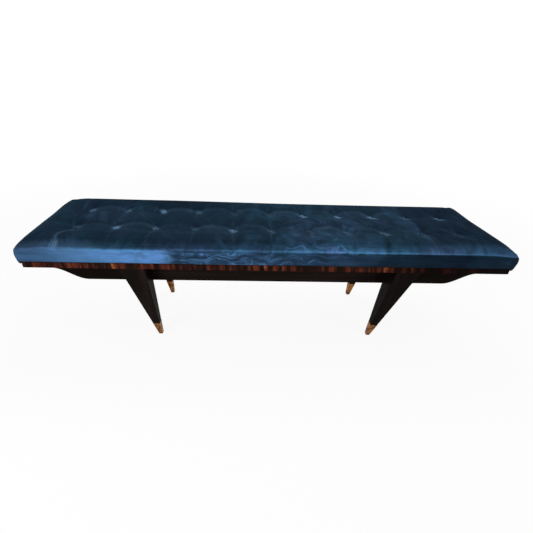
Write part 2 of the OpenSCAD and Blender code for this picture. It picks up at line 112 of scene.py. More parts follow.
class Wiring:
    """A node tree, wired step by step."""

    def __init__(self, tree: bpy.types.NodeTree) -> None:
        """Takes the tree to wire."""
        self.tree = tree

    def feed(self, socket: Socket, value: object) -> None:
        """Links another socket to an input, or sets the input to a value.

        Args:
            socket: The input.
            value: The other socket, or the value.
        """
        if isinstance(value, Socket):
            self.tree.links.new(value, socket)
        else:
            socket.default_value = value

    def node(self, kind: str, inputs: dict | None = None, **settings: object) -> bpy.types.Node:
        """Adds a node.

        Args:
            kind: Type of the node, without the words that all types begin with.
            inputs: Value or socket for each input, by name or number.
            settings: Properties of the node itself.

        Returns:
            The new node.
        """
        made = self.tree.nodes.new("ShaderNode" + kind)
        for name, value in settings.items():
            setattr(made, name, value)
        for key, value in (inputs or {}).items():
            self.feed(made.inputs[key], value)
        return made

    def reckon(self, operation: str, *values: Socket | float, clamp: bool = False) -> Socket:
        """Works one sum out on one, two or three values.

        Args:
            operation: Name of the sum.
            values: What it works on.
            clamp: Whether the result is kept between 0 and 1.

        Returns:
            The result's socket.
        """
        inputs = dict(enumerate(values))
        return self.node("Math", inputs, operation=operation, use_clamp=clamp).outputs[0]

    def plus(self, a: Socket, b: Socket | float) -> Socket:
        """The sum of two values, however large."""
        return self.reckon("ADD", a, b)

    def times(self, a: Socket, b: Socket | float) -> Socket:
        """The product of two values, however large."""
        return self.reckon("MULTIPLY", a, b)

    def seen_white(self) -> Socket:
        """A factor that is 1 where the camera, glass or a glossy surface looks straight at it.

        Returns:
            The factor's socket.
        """
        path = self.node("LightPath").outputs
        total = path["Is Camera Ray"]
        for name in ("Is Glossy Ray", "Is Transmission Ray"):
            total = self.reckon("MAXIMUM", total, path[name])
        return total

    def show(self, share: Socket, lit: bpy.types.Node, white: bpy.types.Node, end: str) -> None:
        """Shows a mix of two shaders.

        Args:
            share: How much of the second shader shows.
            lit: The first shader.
            white: The second shader.
            end: Name of the tree's last node.
        """
        mix = self.node("MixShader", {0: share, 1: lit.outputs[0], 2: white.outputs[0]})
        self.feed(self.tree.nodes[end].inputs["Surface"], mix.outputs[0])


class Recipe(Wiring):
    """The wiring of one material."""

    def __init__(self, name: str) -> None:
        """Starts a material that has a plain shader.

        Args:
            name: Name of the material.
        """
        self.material = bpy.data.materials.new(name)
        self.material.use_nodes = True
        super().__init__(self.material.node_tree)
        self.shader = self.tree.nodes["Principled BSDF"]

    def raw_place(self) -> Socket:
        """Object coordinates as they are."""
        return self.node("TexCoord").outputs["Object"]

    def place(self, stretch: Point = (1, 1, 1), turn: Point = (0, 0, 0)) -> Socket:
        """Object coordinates, turned and then stretched.

        Args:
            stretch: Scale along each axis.
            turn: Turn about each axis, in degrees.

        Returns:
            The coordinates' socket.
        """
        angles = [math.radians(a) for a in turn]
        turned = self.node("Mapping", {"Vector": self.raw_place(), "Rotation": angles})
        return self.stretched(turned.outputs[0], stretch)

    def stretched(self, at: Socket, stretch: Point) -> Socket:
        """Coordinates scaled along each axis."""
        return self.node("Mapping", {"Vector": at, "Scale": stretch}).outputs[0]

    def axes(self, vector: Socket) -> list[Socket]:
        """X, Y and Z of a vector."""
        return self.node("SeparateXYZ", {0: vector}).outputs[:3]

    def facing_up(self) -> Socket:
        """How far the surface faces up, from -1 to 1."""
        return self.axes(self.node("NewGeometry").outputs["Normal"])[2]

    def attribute(self, name: str) -> Socket:
        """A number that the mesh carries at each of its points."""
        return self.node("Attribute", attribute_name=name).outputs["Fac"]

    def noise(
        self, at: Socket, scale: float, detail: float = 4, rough: float = 0.5, warp: float = 0
    ) -> Socket:
        """Noise between 0 and 1.

        Args:
            at: Coordinates.
            scale: Waves to the metre, before any stretch.
            detail: Number of finer layers.
            rough: Strength of the finer layers.
            warp: Distortion.

        Returns:
            The noise's socket.
        """
        inputs = {"Vector": at, "Scale": scale, "Detail": detail, "Roughness": rough, "Distortion": warp}
        return self.node("TexNoise", inputs).outputs["Fac"]

    def spread(self, value: Socket, low: float, high: float, to_low: float = 0, to_high: float = 1) -> Socket:
        """Maps a range smoothly onto another, and keeps values beyond its ends at the ends.

        Args:
            value: The value to map.
            low: Lower end of its range.
            high: Upper end of its range.
            to_low: Result at the lower end.
            to_high: Result at the upper end.

        Returns:
            The result's socket.
        """
        inputs = {"Value": value, "From Min": low, "From Max": high, "To Min": to_low, "To Max": to_high}
        return self.node("MapRange", inputs, interpolation_type="SMOOTHSTEP").outputs["Result"]

    def mix_of(self, share: Socket | float, a: Socket, b: Socket, strength: float) -> Socket:
        """Goes from value a to value b by a share, and multiplies the result by a strength."""
        return self.times(self.node("Mix", {0: share, 2: a, 3: b}, data_type="FLOAT").outputs[0], strength)

    def blend(self, share: Socket | float, a: object, b: object, mode: str = "MIX") -> Socket:
        """Blends colour b into colour a by a share.

        Args:
            share: How much of b there is, from 0 to 1.
            a: The first colour, or its socket.
            b: The second colour, or its socket.
            mode: How they are blended.

        Returns:
            The colour's socket.
        """
        a, b = (colour if isinstance(colour, Socket) else (*colour, 1) for colour in (a, b))
        return self.node("Mix", {0: share, 6: a, 7: b}, data_type="RGBA", blend_type=mode).outputs[2]

    def ramp(self, value: Socket, stops: Stops) -> Socket:
        """Colours along a value.

        Args:
            value: Value between 0 and 1.
            stops: Place and colour of each stop.

        Returns:
            The colour's socket.
        """
        made = self.node("ValToRGB", {"Fac": value})
        band = made.color_ramp
        while len(band.elements) < len(stops):
            band.elements.new(0.5)
        for element, (place, colour) in zip(band.elements, stops):
            element.position = place
            element.color = (*colour, 1)
        return made.outputs["Color"]

    def relief(self, *layers: tuple[Socket, float]) -> None:
        """Raises the surface by one or more height fields.

        Args:
            layers: Height between 0 and 1, and the height of a 1 in metres.
        """
        below = {}
        for height, depth in layers:
            bump = self.node("Bump", {"Height": height, "Distance": depth, "Strength": 1.0, **below})
            below = {"Normal": bump.outputs[0]}
        self.feed(self.shader.inputs["Normal"], bump.outputs[0])

    def wire(self, **inputs: object) -> None:
        """Sets or links the shader's inputs.

        Args:
            inputs: Value or socket for each input, whose name has underscores for blanks.
        """
        for name, value in inputs.items():
            self.feed(self.shader.inputs[name.replace("_", " ")], value)


def faded(colour: Colour, share: float) -> Colour:
    """A colour at a share of its strength."""
    return tuple(share * c for c in colour)


@dataclass(frozen=True)
class Finish:
    """A finish, which is made into a material once and then shared."""

    name: str

    def mix(self, r: Recipe) -> None:
        """Wires the finish into a recipe. Each kind of finish has its own way."""
        raise NotImplementedError

    def material(self) -> bpy.types.Material:
        """The finish's material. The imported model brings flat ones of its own, so these have longer names.

        Returns:
            The material, made at the first call.
        """
        name = self.name + "_finish"
        made = bpy.data.materials.get(name)
        if made is None:
            recipe = Recipe(name)
            self.mix(recipe)
            made = recipe.material
        return made


@dataclass(frozen=True)
class Velvet(Finish):
    """Short-pile velvet. Its attributes carry the lie of the pile together with painted light and shade, and
    painted highlights that show pale.
    """

    shades: Stops = (
        (0.0, (0.0030, 0.0068, 0.0150)),
        (0.25, (0.0060, 0.0160, 0.0296)),
        (0.5, (0.0172, 0.0420, 0.0835)),
        (0.8, (0.0520, 0.1320, 0.2700)),
        (1.0, (0.0800, 0.2020, 0.4500)),
    )
    # Colour towards which the painted highlights blend.
    pale: Colour = (0.19, 0.36, 0.56)
    greenish: Colour = (0.84, 1.06, 1.00)
    reddish: Colour = (1.06, 0.98, 1.02)
    sheen: Colour = (0.10, 0.42, 0.76)
    left_lie: tuple[Point, Point] = ((30, 5, 20), (0, 0, 17))
    right_lie: tuple[Point, Point] = ((22, 6, 24), (0, 0, -28))
    level_streaks: Point = (5, 5, 110)
    broad_streaks: Point = (9, 9, 30)
    crests: Point = (9, 9, 26)
    patch_scale: float = 6
    hue_scale: float = 5.5
    top_strokes: float = 0.085
    side_strokes: float = 0.06
    curl_scale: float = 17
    curl_reach: float = 0.15
    swirls: float = 0.22
    masses: float = 0.16
    veins: float = 0.30
    vein_w: float = 0.035
    grain_scale: float = 60
    wale_scale: float = 90
    wale_depth: float = 0.0008
    pile_scale: float = 1500
    pile_depth: float = 0.0003

    def bent_place(self, r: Recipe, ruffle: Socket) -> Socket:
        """Object coordinates that curl where the pile is ruffled.

        Args:
            r: The velvet's recipe.
            ruffle: How far the pile is ruffled, from 0 to 1.

        Returns:
            The coordinates' socket.
        """
        at = r.place()
        inputs = {"Vector": at, "Scale": self.curl_scale, "Detail": 1.5, "Roughness": 0.5}
        eddy = r.node("TexNoise", inputs).outputs["Color"]
        centred = r.node("VectorMath", {0: eddy, 1: (0.5, 0.5, 0.5)}, operation="SUBTRACT").outputs[0]
        reach = r.times(ruffle, self.curl_reach)
        offset = r.node("VectorMath", {0: centred, "Scale": reach}, operation="SCALE").outputs[0]
        return r.node("VectorMath", {0: at, 1: offset}, operation="ADD").outputs[0]

    def over_top(self, r: Recipe, cloud: Socket) -> Socket:
        """Strokes over the top panel, which lean to the left or to the right from patch to patch.

        Args:
            r: The velvet's recipe.
            cloud: The patches, from 0 to 1.

        Returns:
            The strokes' socket.
        """
        left = r.spread(r.noise(r.place(*self.left_lie), 1, 5, 0.62, 0.6), 0.3, 0.72, -1, 1)
        right = r.spread(r.noise(r.place(*self.right_lie), 1, 4, 0.6, 0.9), 0.3, 0.72, -1, 1)
        return r.mix_of(r.spread(cloud, 0.42, 0.6), left, right, self.top_strokes)

    def swirl(self, r: Recipe, bent: Socket, level: Socket, broad: Socket) -> Socket:
        """Wisps, broad masses and pale veins of ruffled pile.

        Args:
            r: The velvet's recipe.
            bent: Curling coordinates.
            level: Fine level streaks, from -1 to 1.
            broad: Broad streaks, from -1 to 1.

        Returns:
            The swirls' socket.
        """
        crest = r.reckon("SUBTRACT", r.noise(r.stretched(bent, self.crests), 1, 2, 0.5), 0.5)
        vein = r.spread(r.reckon("ABSOLUTE", crest), 0.0, self.vein_w, self.veins, 0.0)
        wisps = r.plus(r.times(level, self.swirls), r.times(broad, self.masses))
        return r.plus(wisps, vein)

    def mix(self, r: Recipe) -> None:
        """Nap strokes over broad patches, swirls where the pile is ruffled, a fine pile, painted highlights
        and a blue sheen.

        Args:
            r: The velvet's recipe.
        """
        ruffle = r.attribute("ruffle")
        upward = r.spread(r.facing_up(), 0.35, 0.65)
        cloud = r.noise(r.place(), self.patch_scale, 3, 0.5, 0.8)
        bent = self.bent_place(r, ruffle)
        fine = r.noise(r.stretched(bent, self.level_streaks), 1, 4, 0.62, 0.3)
        coarse = r.noise(r.stretched(bent, self.broad_streaks), 1, 2, 0.5, 0.5)
        level, broad = (r.spread(streaks, 0.3, 0.7, -1, 1) for streaks in (fine, coarse))
        along_side = r.mix_of(0.5, level, broad, self.side_strokes)
        strokes = r.mix_of(upward, along_side, self.over_top(r, cloud), 1.0)
        swirl = r.times(self.swirl(r, bent, level, broad), ruffle)
        # The mesh attribute read here holds the lie of the pile together with painted light and shade.
        brushed = r.plus(r.plus(r.attribute("nap"), strokes), r.spread(cloud, 0.3, 0.7, -0.05, 0.06))
        lit = r.reckon("ADD", brushed, swirl, clamp=True)
        colour = r.ramp(lit, self.shades)
        patches = r.spread(r.noise(r.place(), self.hue_scale, 3, 0.5, 0.5), 0.40, 0.62)
        hue = r.blend(patches, self.greenish, self.reddish)
        tint = r.blend(upward, colour, r.blend(1.0, colour, hue, "MULTIPLY"))
        grain = r.noise(r.place((self.grain_scale,) * 3), 1, 3, 0.6, 0.6)
        # Painted highlights: the colour blends towards pale where painted_shine is high.
        painted_shine = r.times(r.attribute("painted_shine"), r.spread(grain, 0.3, 0.7, 0.6, 1.25))
        wale = r.noise(r.place((self.wale_scale,) * 3), 1, 3, 0.6)
        pile = r.noise(r.place(), self.pile_scale, 2, 0.6)
        r.relief((wale, self.wale_depth), (pile, self.pile_depth))
        r.wire(
            Base_Color=r.blend(painted_shine, tint, self.pale),
            Roughness=r.spread(lit, 0, 1, 0.90, 0.70),
            Sheen_Weight=0.04,
            Sheen_Roughness=0.35,
            Sheen_Tint=(*self.sheen, 1),
            Specular_IOR_Level=0.025,
        )


@dataclass(frozen=True)
class StripedVeneer(Finish):
    """Dark veneer with orange stripes, laid across the edge and lacquered, and darkened towards its ends with
    painted shade.
    """

    shades: Stops = (
        (0.0, (0.0075, 0.0038, 0.0030)),
        (0.35, (0.024, 0.0080, 0.0054)),
        (0.6, (0.078, 0.0175, 0.0095)),
        (0.85, (0.132, 0.0320, 0.0145)),
        (1.0, (0.250, 0.0700, 0.0250)),
    )
    hair_shade: Colour = (0.40, 0.34, 0.34)
    painted_end_shade: Colour = (0.22, 0.20, 0.26)
    slant: float = 0.10
    rise: float = 0.12
    group_scale: float = 10
    stripe_scale: float = 56
    stripe_share: float = 0.72
    flare_scale: float = 38
    hair_scale: float = 620
    hair_depth: float = 0.00006

    def mix(self, r: Recipe) -> None:
        """Upright stripes, which run on round the corners because X and Y are added.

        Args:
            r: The veneer's recipe.
        """
        x, y, z = r.axes(r.raw_place())
        run = r.reckon("MULTIPLY_ADD", z, self.slant, r.plus(x, y))
        along = r.node("CombineXYZ", {0: run, 2: r.times(z, self.rise)}).outputs[0]
        group = r.spread(r.noise(along, self.group_scale, 2, 0.6, 0.5), 0.38, 0.56, 0.20, 1.0)
        stripe = r.spread(r.noise(along, self.stripe_scale, 4, 0.62, 0.8), 0.32, 0.64)
        flare = r.spread(r.noise(along, self.flare_scale, 3, 0.6, 0.4), 0.56, 0.66, 0.0, 0.42)
        hair = r.noise(along, self.hair_scale, 3, 0.7)
        striped = r.times(stripe, r.times(group, self.stripe_share))
        figure = r.reckon("ADD", striped, r.times(flare, group), clamp=True)
        colour = r.ramp(figure, self.shades)
        shaded = r.blend(r.spread(hair, 0.35, 0.65, 0.0, 0.45), colour, self.hair_shade, "MULTIPLY")
        # Painted shade darkens the veneer towards both ends, the right one most.
        right, left = r.spread(x, 0.30, 0.62, 0.0, 0.95), r.spread(x, -0.84, -0.56, 0.50, 0.0)
        ends = r.reckon("MAXIMUM", right, left, clamp=True)
        r.relief((hair, self.hair_depth))
        r.wire(
            Base_Color=r.blend(ends, shaded, self.painted_end_shade, "MULTIPLY"),
            Roughness=r.spread(hair, 0.3, 0.7, 0.38, 0.54),
            Coat_Weight=0.02,
            Coat_Roughness=0.2,
            Specular_IOR_Level=0.01,
        )


@dataclass(frozen=True)
class DarkWood(Finish):
    """Near-black brown wood under satin lacquer, rubbed a little paler in places, and darkened towards both
    ends with painted shade.
    """

    grain: Grain = Grain.LEVEL
    dark: Colour = (0.0056, 0.0038, 0.0033)
    pale: Colour = (0.0140, 0.0087, 0.0071)
    painted_end_shade: Colour = (0.36, 0.32, 0.27)
    finer: float = 9
    rub_scale: float = 11
    pore_depth: float = 0.00008

    def mix(self, r: Recipe) -> None:
        """Long streaks and fine pores along the grain, faint marks in the lacquer, and painted shade towards
        the ends.

        Args:
            r: The wood's recipe.
        """
        stretch = self.grain.value
        figure = r.noise(r.place(stretch), 1, 5, 0.6, 0.35)
        pores = r.noise(r.place(tuple(self.finer * s for s in stretch)), 1, 4, 0.72)
        rubbed = r.noise(r.place(), self.rub_scale, 4, 0.6, 0.5)
        streaks, pits = r.spread(figure, 0.32, 0.70), r.spread(pores, 0.25, 0.62, 0.45, 1.0)
        tone = r.reckon("MULTIPLY", streaks, pits, clamp=True)
        middle = tuple((a + b) / 2 for a, b in zip(self.dark, self.pale))
        colour = r.ramp(tone, ((0.0, self.dark), (0.55, middle), (1.0, self.pale)))
        worn = r.blend(r.spread(rubbed, 0.50, 0.78, 0.0, 0.35), colour, faded(self.pale, 1.2))
        # Painted shade darkens the wood towards both ends of the bench.
        x = r.axes(r.place())[0]
        right, left = r.spread(x, 0.20, 0.55, 0.0, 0.8), r.spread(x, -0.66, -0.44, 1.0, 0.0)
        ends = r.reckon("MAXIMUM", right, left, clamp=True)
        r.relief((pores, self.pore_depth))
        r.wire(
            Base_Color=r.blend(ends, worn, self.painted_end_shade, "MULTIPLY"),
            Roughness=r.spread(rubbed, 0.3, 0.7, 0.40, 0.56),
            Coat_Weight=0.02,
            Coat_Roughness=0.25,
            Specular_IOR_Level=0.01,
        )


@dataclass(frozen=True)
class RawWood(Finish):
    """Stained or raw wood with no lacquer."""

    grain: Grain
    dark: Colour
    pale: Colour
    finer: float = 8
    stain_scale: float = 7
    pore_depth: float = 0.00025

    def mix(self, r: Recipe) -> None:
        """Rings drawn out along the grain, with open pores.

        Args:
            r: The wood's recipe.
        """
        stretch = self.grain.value
        rings = r.noise(r.place(stretch), 1, 4, 0.55, 0.8)
        pores = r.noise(r.place(tuple(self.finer * s for s in stretch)), 1, 3, 0.7)
        stain = r.noise(r.place(), self.stain_scale, 3)
        colour = r.blend(r.spread(rings, 0.3, 0.7), self.dark, self.pale)
        spotted = r.blend(r.spread(pores, 0.52, 0.75, 0.0, 0.45), colour, self.dark, "MULTIPLY")
        r.relief((pores, self.pore_depth))
        r.wire(
            Base_Color=r.blend(r.spread(stain, 0.45, 0.8, 0.0, 0.35), spotted, faded(self.dark, 0.6)),
            Roughness=r.spread(rings, 0.3, 0.7, 0.62, 0.82),
            Specular_IOR_Level=0.3,
        )


@dataclass(frozen=True)
class Plywood(Finish):
    """Plywood: a rotary-cut face and plies that show on its edges."""

    face_shades: Stops = ((0, (0.36, 0.24, 0.13)), (1, (0.60, 0.45, 0.28)))
    pale_ply: Colour = (0.52, 0.38, 0.22)
    dark_ply: Colour = (0.24, 0.14, 0.07)
    plies_per_metre: float = 540
    fibre_depth: float = 0.0002

    def mix(self, r: Recipe) -> None:
        """Face veneer above and below, light and dark plies where the surface is upright.

        Args:
            r: The plywood's recipe.
        """
        cathedral = r.spread(r.noise(r.place((2, 26, 26)), 1, 5, 0.6, 1.2), 0.3, 0.7)
        face = r.ramp(cathedral, self.face_shades)
        height = r.axes(r.raw_place())[2]
        ply = r.reckon("SINE", r.times(height, self.plies_per_metre * math.pi))
        edge = r.blend(r.spread(ply, -0.3, 0.3), self.pale_ply, self.dark_ply)
        level = r.spread(r.reckon("ABSOLUTE", r.facing_up()), 0.4, 0.6)
        fibres = r.noise(r.place((12, 300, 300)), 1, 3, 0.7)
        r.relief((fibres, self.fibre_depth))
        r.wire(Base_Color=r.blend(level, edge, face), Roughness=r.spread(fibres, 0.3, 0.7, 0.6, 0.8))


@dataclass(frozen=True)
class Metal(Finish):
    """Bare or plated metal, a little tarnished."""

    clean: Colour
    tarnished: Colour
    rough: float = 0.34
    rougher: float = 0.16
    brushing: Point = (60, 60, 900)
    cloud_scale: float = 42
    speck_scale: float = 700
    mark_depth: float = 0.00004

    def mix(self, r: Recipe) -> None:
        """Tarnish in soft clouds, fine brush marks and a few specks.

        Args:
            r: The metal's recipe.
        """
        cloud = r.noise(r.place(), self.cloud_scale, 5, 0.62, 0.6)
        marks = r.noise(r.place(self.brushing), 1, 3, 0.65)
        specks = r.noise(r.place(), self.speck_scale, 2, 0.6)
        clouds, dots = r.spread(cloud, 0.40, 0.62), r.spread(specks, 0.62, 0.76, 0.0, 0.7)
        tarnish = r.reckon("MAXIMUM", clouds, dots, clamp=True)
        brushed = r.spread(marks, 0.3, 0.7, -0.05, 0.08)
        dulled = r.spread(tarnish, 0, 1, self.rough, self.rough + self.rougher)
        r.relief((marks, self.mark_depth))
        r.wire(
            Base_Color=r.blend(tarnish, self.clean, self.tarnished),
            Metallic=1.0,
            Roughness=r.plus(brushed, dulled),
        )


@dataclass(frozen=True)
class Foam(Finish):
    """Open-cell foam."""

    skin: Colour = (0.72, 0.62, 0.38)
    cell_scale: float = 900
    cell_depth: float = 0.0005

    def mix(self, r: Recipe) -> None:
        """Small open cells whose hollows are darkened with painted shade.

        Args:
            r: The foam's recipe.
        """
        inputs = {"Vector": r.place(), "Scale": self.cell_scale}
        cells = r.node("TexVoronoi", inputs).outputs["Distance"]
        cloud = r.spread(r.noise(r.place(), 9, 3), 0.35, 0.65)
        tone = r.blend(cloud, self.skin, faded(self.skin, 0.88))
        r.relief((cells, self.cell_depth))
        # Painted shade darkens the hollows of the cells.
        r.wire(
            Base_Color=r.blend(r.spread(cells, 0.1, 0.7, 0.5, 0.0), tone, faded(self.skin, 0.55)),
            Roughness=0.95,
            Specular_IOR_Level=0.1,
        )


@dataclass(frozen=True)
class Twine(Finish):
    """Waxed linen twine, laid in two strands."""

    colour: Colour = (0.60, 0.55, 0.44)
    lay: Point = (38, 0, 0)
    twist_scale: float = 170
    twist_depth: float = 0.0004
    fuzz_scale: float = 2500
    fuzz_depth: float = 0.0001

    def mix(self, r: Recipe) -> None:
        """A slanting twist that repeats along the twine, with painted shade in the grooves between its
        strands.

        Args:
            r: The twine's recipe.
        """
        inputs = {"Vector": r.place(turn=self.lay), "Scale": self.twist_scale, "Distortion": 1.5}
        wave = r.node("TexWave", inputs).outputs["Fac"]
        fuzz = r.noise(r.place(), self.fuzz_scale, 2)
        r.relief((wave, self.twist_depth), (fuzz, self.fuzz_depth))
        # Painted shade darkens the colour where the twist's relief is low.
        r.wire(
            Base_Color=r.blend(wave, faded(self.colour, 0.6), self.colour),
            Roughness=r.spread(fuzz, 0.3, 0.7, 0.6, 0.8),
        )


@dataclass(frozen=True)
class Nylon(Finish):
    """Black moulded nylon, scuffed where it meets the floor."""

    black: Colour = (0.018, 0.018, 0.019)
    scuffed: Colour = (0.12, 0.12, 0.12)
    grit_scale: float = 1600
    grit_depth: float = 0.00008

    def mix(self, r: Recipe) -> None:
        """A fine moulded grain with pale scuffs.

        Args:
            r: The nylon's recipe.
        """
        grit = r.noise(r.place(), self.grit_scale, 3, 0.6)
        scuff = r.noise(r.place((700, 90, 90), (0, 0, 30)), 1, 3)
        r.relief((grit, self.grit_depth))
        r.wire(
            Base_Color=r.blend(r.spread(scuff, 0.56, 0.72, 0.0, 0.6), self.black, self.scuffed),
            Roughness=r.spread(grit, 0.3, 0.7, 0.42, 0.6),
        )


HARDWOOD_SHADES = (0.050, 0.028, 0.018), (0.120, 0.070, 0.043)

VELVET = Velvet("velvet")
CROSSBAND = StripedVeneer("crossband")
APRON_WOOD = DarkWood("dark_veneer", Grain.LEVEL)
LEG_WOOD = DarkWood("dark_lacquer", Grain.UPRIGHT)
BRASS = Metal("brass", clean=(0.25, 0.105, 0.031), tarnished=(0.054, 0.015, 0.003))
STEEL = Metal("steel", clean=(0.58, 0.59, 0.61), tarnished=(0.36, 0.36, 0.37), rough=0.4)
HARDWOOD_X = RawWood("hardwood_along", Grain.ALONG_X, *HARDWOOD_SHADES)
HARDWOOD_Y = RawWood("hardwood_across", Grain.ALONG_Y, *HARDWOOD_SHADES)
BEECH = RawWood("beech", Grain.UPRIGHT, (0.42, 0.27, 0.15), (0.62, 0.45, 0.28))
PLYWOOD = Plywood("plywood")
FOAM = Foam("foam")
TWINE = Twine("twine")
NYLON = Nylon("glide")


# Modelling


class Blank:
    """A piece in the making, which edit operators shape."""

    def __init__(self, obj: bpy.types.Object, name: str) -> None:
        """Takes an object over as a blank and puts its place into its mesh.

        Args:
            obj: The object.
            name: Name of the piece.
        """
        self.obj = obj
        obj.name = obj.data.name = name
        self.hold()
        bpy.ops.object.transform_apply(location=True, rotation=True, scale=True)

    @classmethod
    def box(cls, name: str, low: Point, high: Point) -> "Blank":
        """A box between two opposite corners.

        Args:
            name: Name of the piece.
            low: Its lowest corner.
            high: Its highest corner.

        Returns:
            The blank.
        """
        low_at, high_at = Vector(low), Vector(high)
        bpy.ops.mesh.primitive_cube_add(size=1, location=(low_at + high_at) / 2, scale=high_at - low_at)
        return cls(bpy.context.active_object, name)

    @classmethod
    def drum(
        cls, name: str, foot: Point, radius: float, height: float, sides: int = 32, turn: Point = (0, 0, 0)
    ) -> "Blank":
        """A drum that stands on a point.

        Args:
            name: Name of the piece.
            foot: Centre of its lower face, before it is turned.
            radius: Radius to its corners.
            height: Height.
            sides: Number of sides.
            turn: Turn about its foot, in degrees.

        Returns:
            The blank.
        """
        bpy.ops.mesh.primitive_cylinder_add(vertices=sides, radius=radius, depth=height, location=(0, 0, 0))
        made = cls(bpy.context.active_object, name)
        with made.editing():
            bpy.ops.mesh.select_all(action="SELECT")
            bpy.ops.transform.translate(value=(0, 0, height / 2))
        made.obj.rotation_euler = [math.radians(a) for a in turn]
        made.obj.location = foot
        return cls(made.obj, name)

    def hold(self) -> None:
        """Selects the blank alone."""
        bpy.ops.object.select_all(action="DESELECT")
        self.obj.select_set(True)
        bpy.context.view_layer.objects.active = self.obj

    @contextmanager
    def editing(self) -> Iterator[None]:
        """Opens the blank in edit mode with nothing selected, and closes it at the end.

        Returns:
            Nothing; what is done inside happens in edit mode.
        """
        self.hold()
        bpy.ops.object.mode_set(mode="EDIT")
        bpy.ops.mesh.select_all(action="DESELECT")
        yield
        bpy.ops.object.mode_set(mode="OBJECT")

    def pick(self, kind: Pick, test: Test) -> None:
        """Selects, in edit mode, the elements that pass a test.

        Args:
            kind: What to pick.
            test: Takes an element's centre and its normal, or an edge's direction.
        """
        bpy.ops.mesh.select_mode(type=kind.value)
        bpy.ops.mesh.select_all(action="DESELECT")
        mesh = bmesh.from_edit_mesh(self.obj.data)
        if kind is Pick.EDGES:
            for edge in mesh.edges:
                a, b = (v.co for v in edge.verts)
                edge.select_set(test((a + b) / 2, (b - a).normalized()))
        elif kind is Pick.FACES:
            for face in mesh.faces:
                face.select_set(test(face.calc_center_median(), face.normal))
        else:
            for vert in mesh.verts:
                vert.select_set(test(vert.co, vert.normal))
        mesh.select_flush_mode()
        bmesh.update_edit_mesh(self.obj.data)

    def bevel(self, radius: float, steps: int, test: Test) -> None:
        """Rounds, in edit mode, the edges that pass a test.

        Args:
            radius: How far the rounding reaches.
            steps: Number of facets across it.
            test: Takes an edge's middle and its direction.
        """
        self.pick(Pick.EDGES, test)
        bpy.ops.mesh.bevel(offset=radius, segments=steps, affect="EDGES")

    def cut(self, place: Point, way: Point, **settings: bool) -> None:
        """Cuts, in edit mode, the whole blank by a plane.

        Args:
            place: A point of the plane.
            way: The plane's normal.
            settings: What becomes of the far side and of the cut.
        """
        bpy.ops.mesh.select_all(action="SELECT")
        bpy.ops.mesh.bisect(plane_co=place, plane_no=way, **settings)

    @staticmethod
    def shift(by: Point) -> None:
        """Moves, in edit mode, what is selected."""
        bpy.ops.transform.translate(value=by)

    @staticmethod
    def stretch(by: Point, about: Point) -> None:
        """Scales, in edit mode, what is selected about a point."""
        bpy.ops.transform.resize(value=by, center_override=about)

    @staticmethod
    def draw_out(rise: float) -> None:
        """Extrudes, in edit mode, the selected faces up by a height."""
        bpy.ops.mesh.extrude_region_move(TRANSFORM_OT_translate={"value": (0, 0, rise)})

    def soften(self, radius: float, steps: int = 2, angle: float = 40) -> None:
        """Rounds every sharp edge.

        Args:
            radius: How far the rounding reaches.
            steps: Number of facets across it.
            angle: Angle above which an edge is sharp, in degrees.
        """
        with self.editing():
            bpy.ops.mesh.select_mode(type="EDGE")
            bpy.ops.mesh.edges_select_sharp(sharpness=math.radians(angle))
            bpy.ops.mesh.bevel(offset=radius, segments=steps, affect="EDGES", clamp_overlap=True)

    def finish_with(self, kind: str, **settings: object) -> None:
        """Adds a modifier and applies it.

        Args:
            kind: Type of the modifier.
            settings: Its properties.
        """
        self.hold()
        modifier = self.obj.modifiers.new(kind.lower(), kind)
        for name, value in settings.items():
            setattr(modifier, name, value)
        bpy.ops.object.modifier_apply(modifier=modifier.name)

    def twin(self, name: str, scale: Point = (1, 1, 1), shift: Point = (0, 0, 0)) -> "Blank":
        """A copy with its own mesh.

        Args:
            name: Name of the copy.
            scale: Scale about the origin; a negative one reflects.
            shift: Shift after that.

        Returns:
            The copy.
        """
        self.hold()
        bpy.ops.object.duplicate(linked=False)
        made = Blank(bpy.context.active_object, name)
        with made.editing():
            bpy.ops.mesh.select_all(action="SELECT")
            self.stretch(scale, (0, 0, 0))
            self.shift(shift)
            if math.prod(scale) < 0:
                bpy.ops.mesh.normals_make_consistent(inside=False)
        return made

    def take_in(self, *others: "Blank") -> "Blank":
        """Joins other blanks into this one.

        Args:
            others: The blanks to join, which are used up.

        Returns:
            This blank.
        """
        self.hold()
        for other in others:
            other.obj.select_set(True)
        bpy.ops.object.join()
        return self

    def throw_away(self) -> None:
        """Removes a blank that has only been copied."""
        bpy.data.objects.remove(self.obj)

    def rows(self, kind: str) -> Values:
        """One vector of each vertex, such as its place.

        Args:
            kind: Name of the vector.

        Returns:
            The vectors, in rows.
        """
        flat = np.empty(len(self.obj.data.vertices) * 3)
        self.obj.data.vertices.foreach_get(kind, flat)
        return flat.reshape(-1, 3)

    def put(self, at: Values) -> None:
        """Moves the vertices to new places, given in rows."""
        self.obj.data.vertices.foreach_set("co", at.ravel())
        self.obj.data.update()

    def mark(self, name: str, values: Values) -> None:
        """Stores a number for each vertex, for the finish to read."""
        layer = self.obj.data.attributes.new(name, "FLOAT", "POINT")
        layer.data.foreach_set("value", values.astype(np.float32))

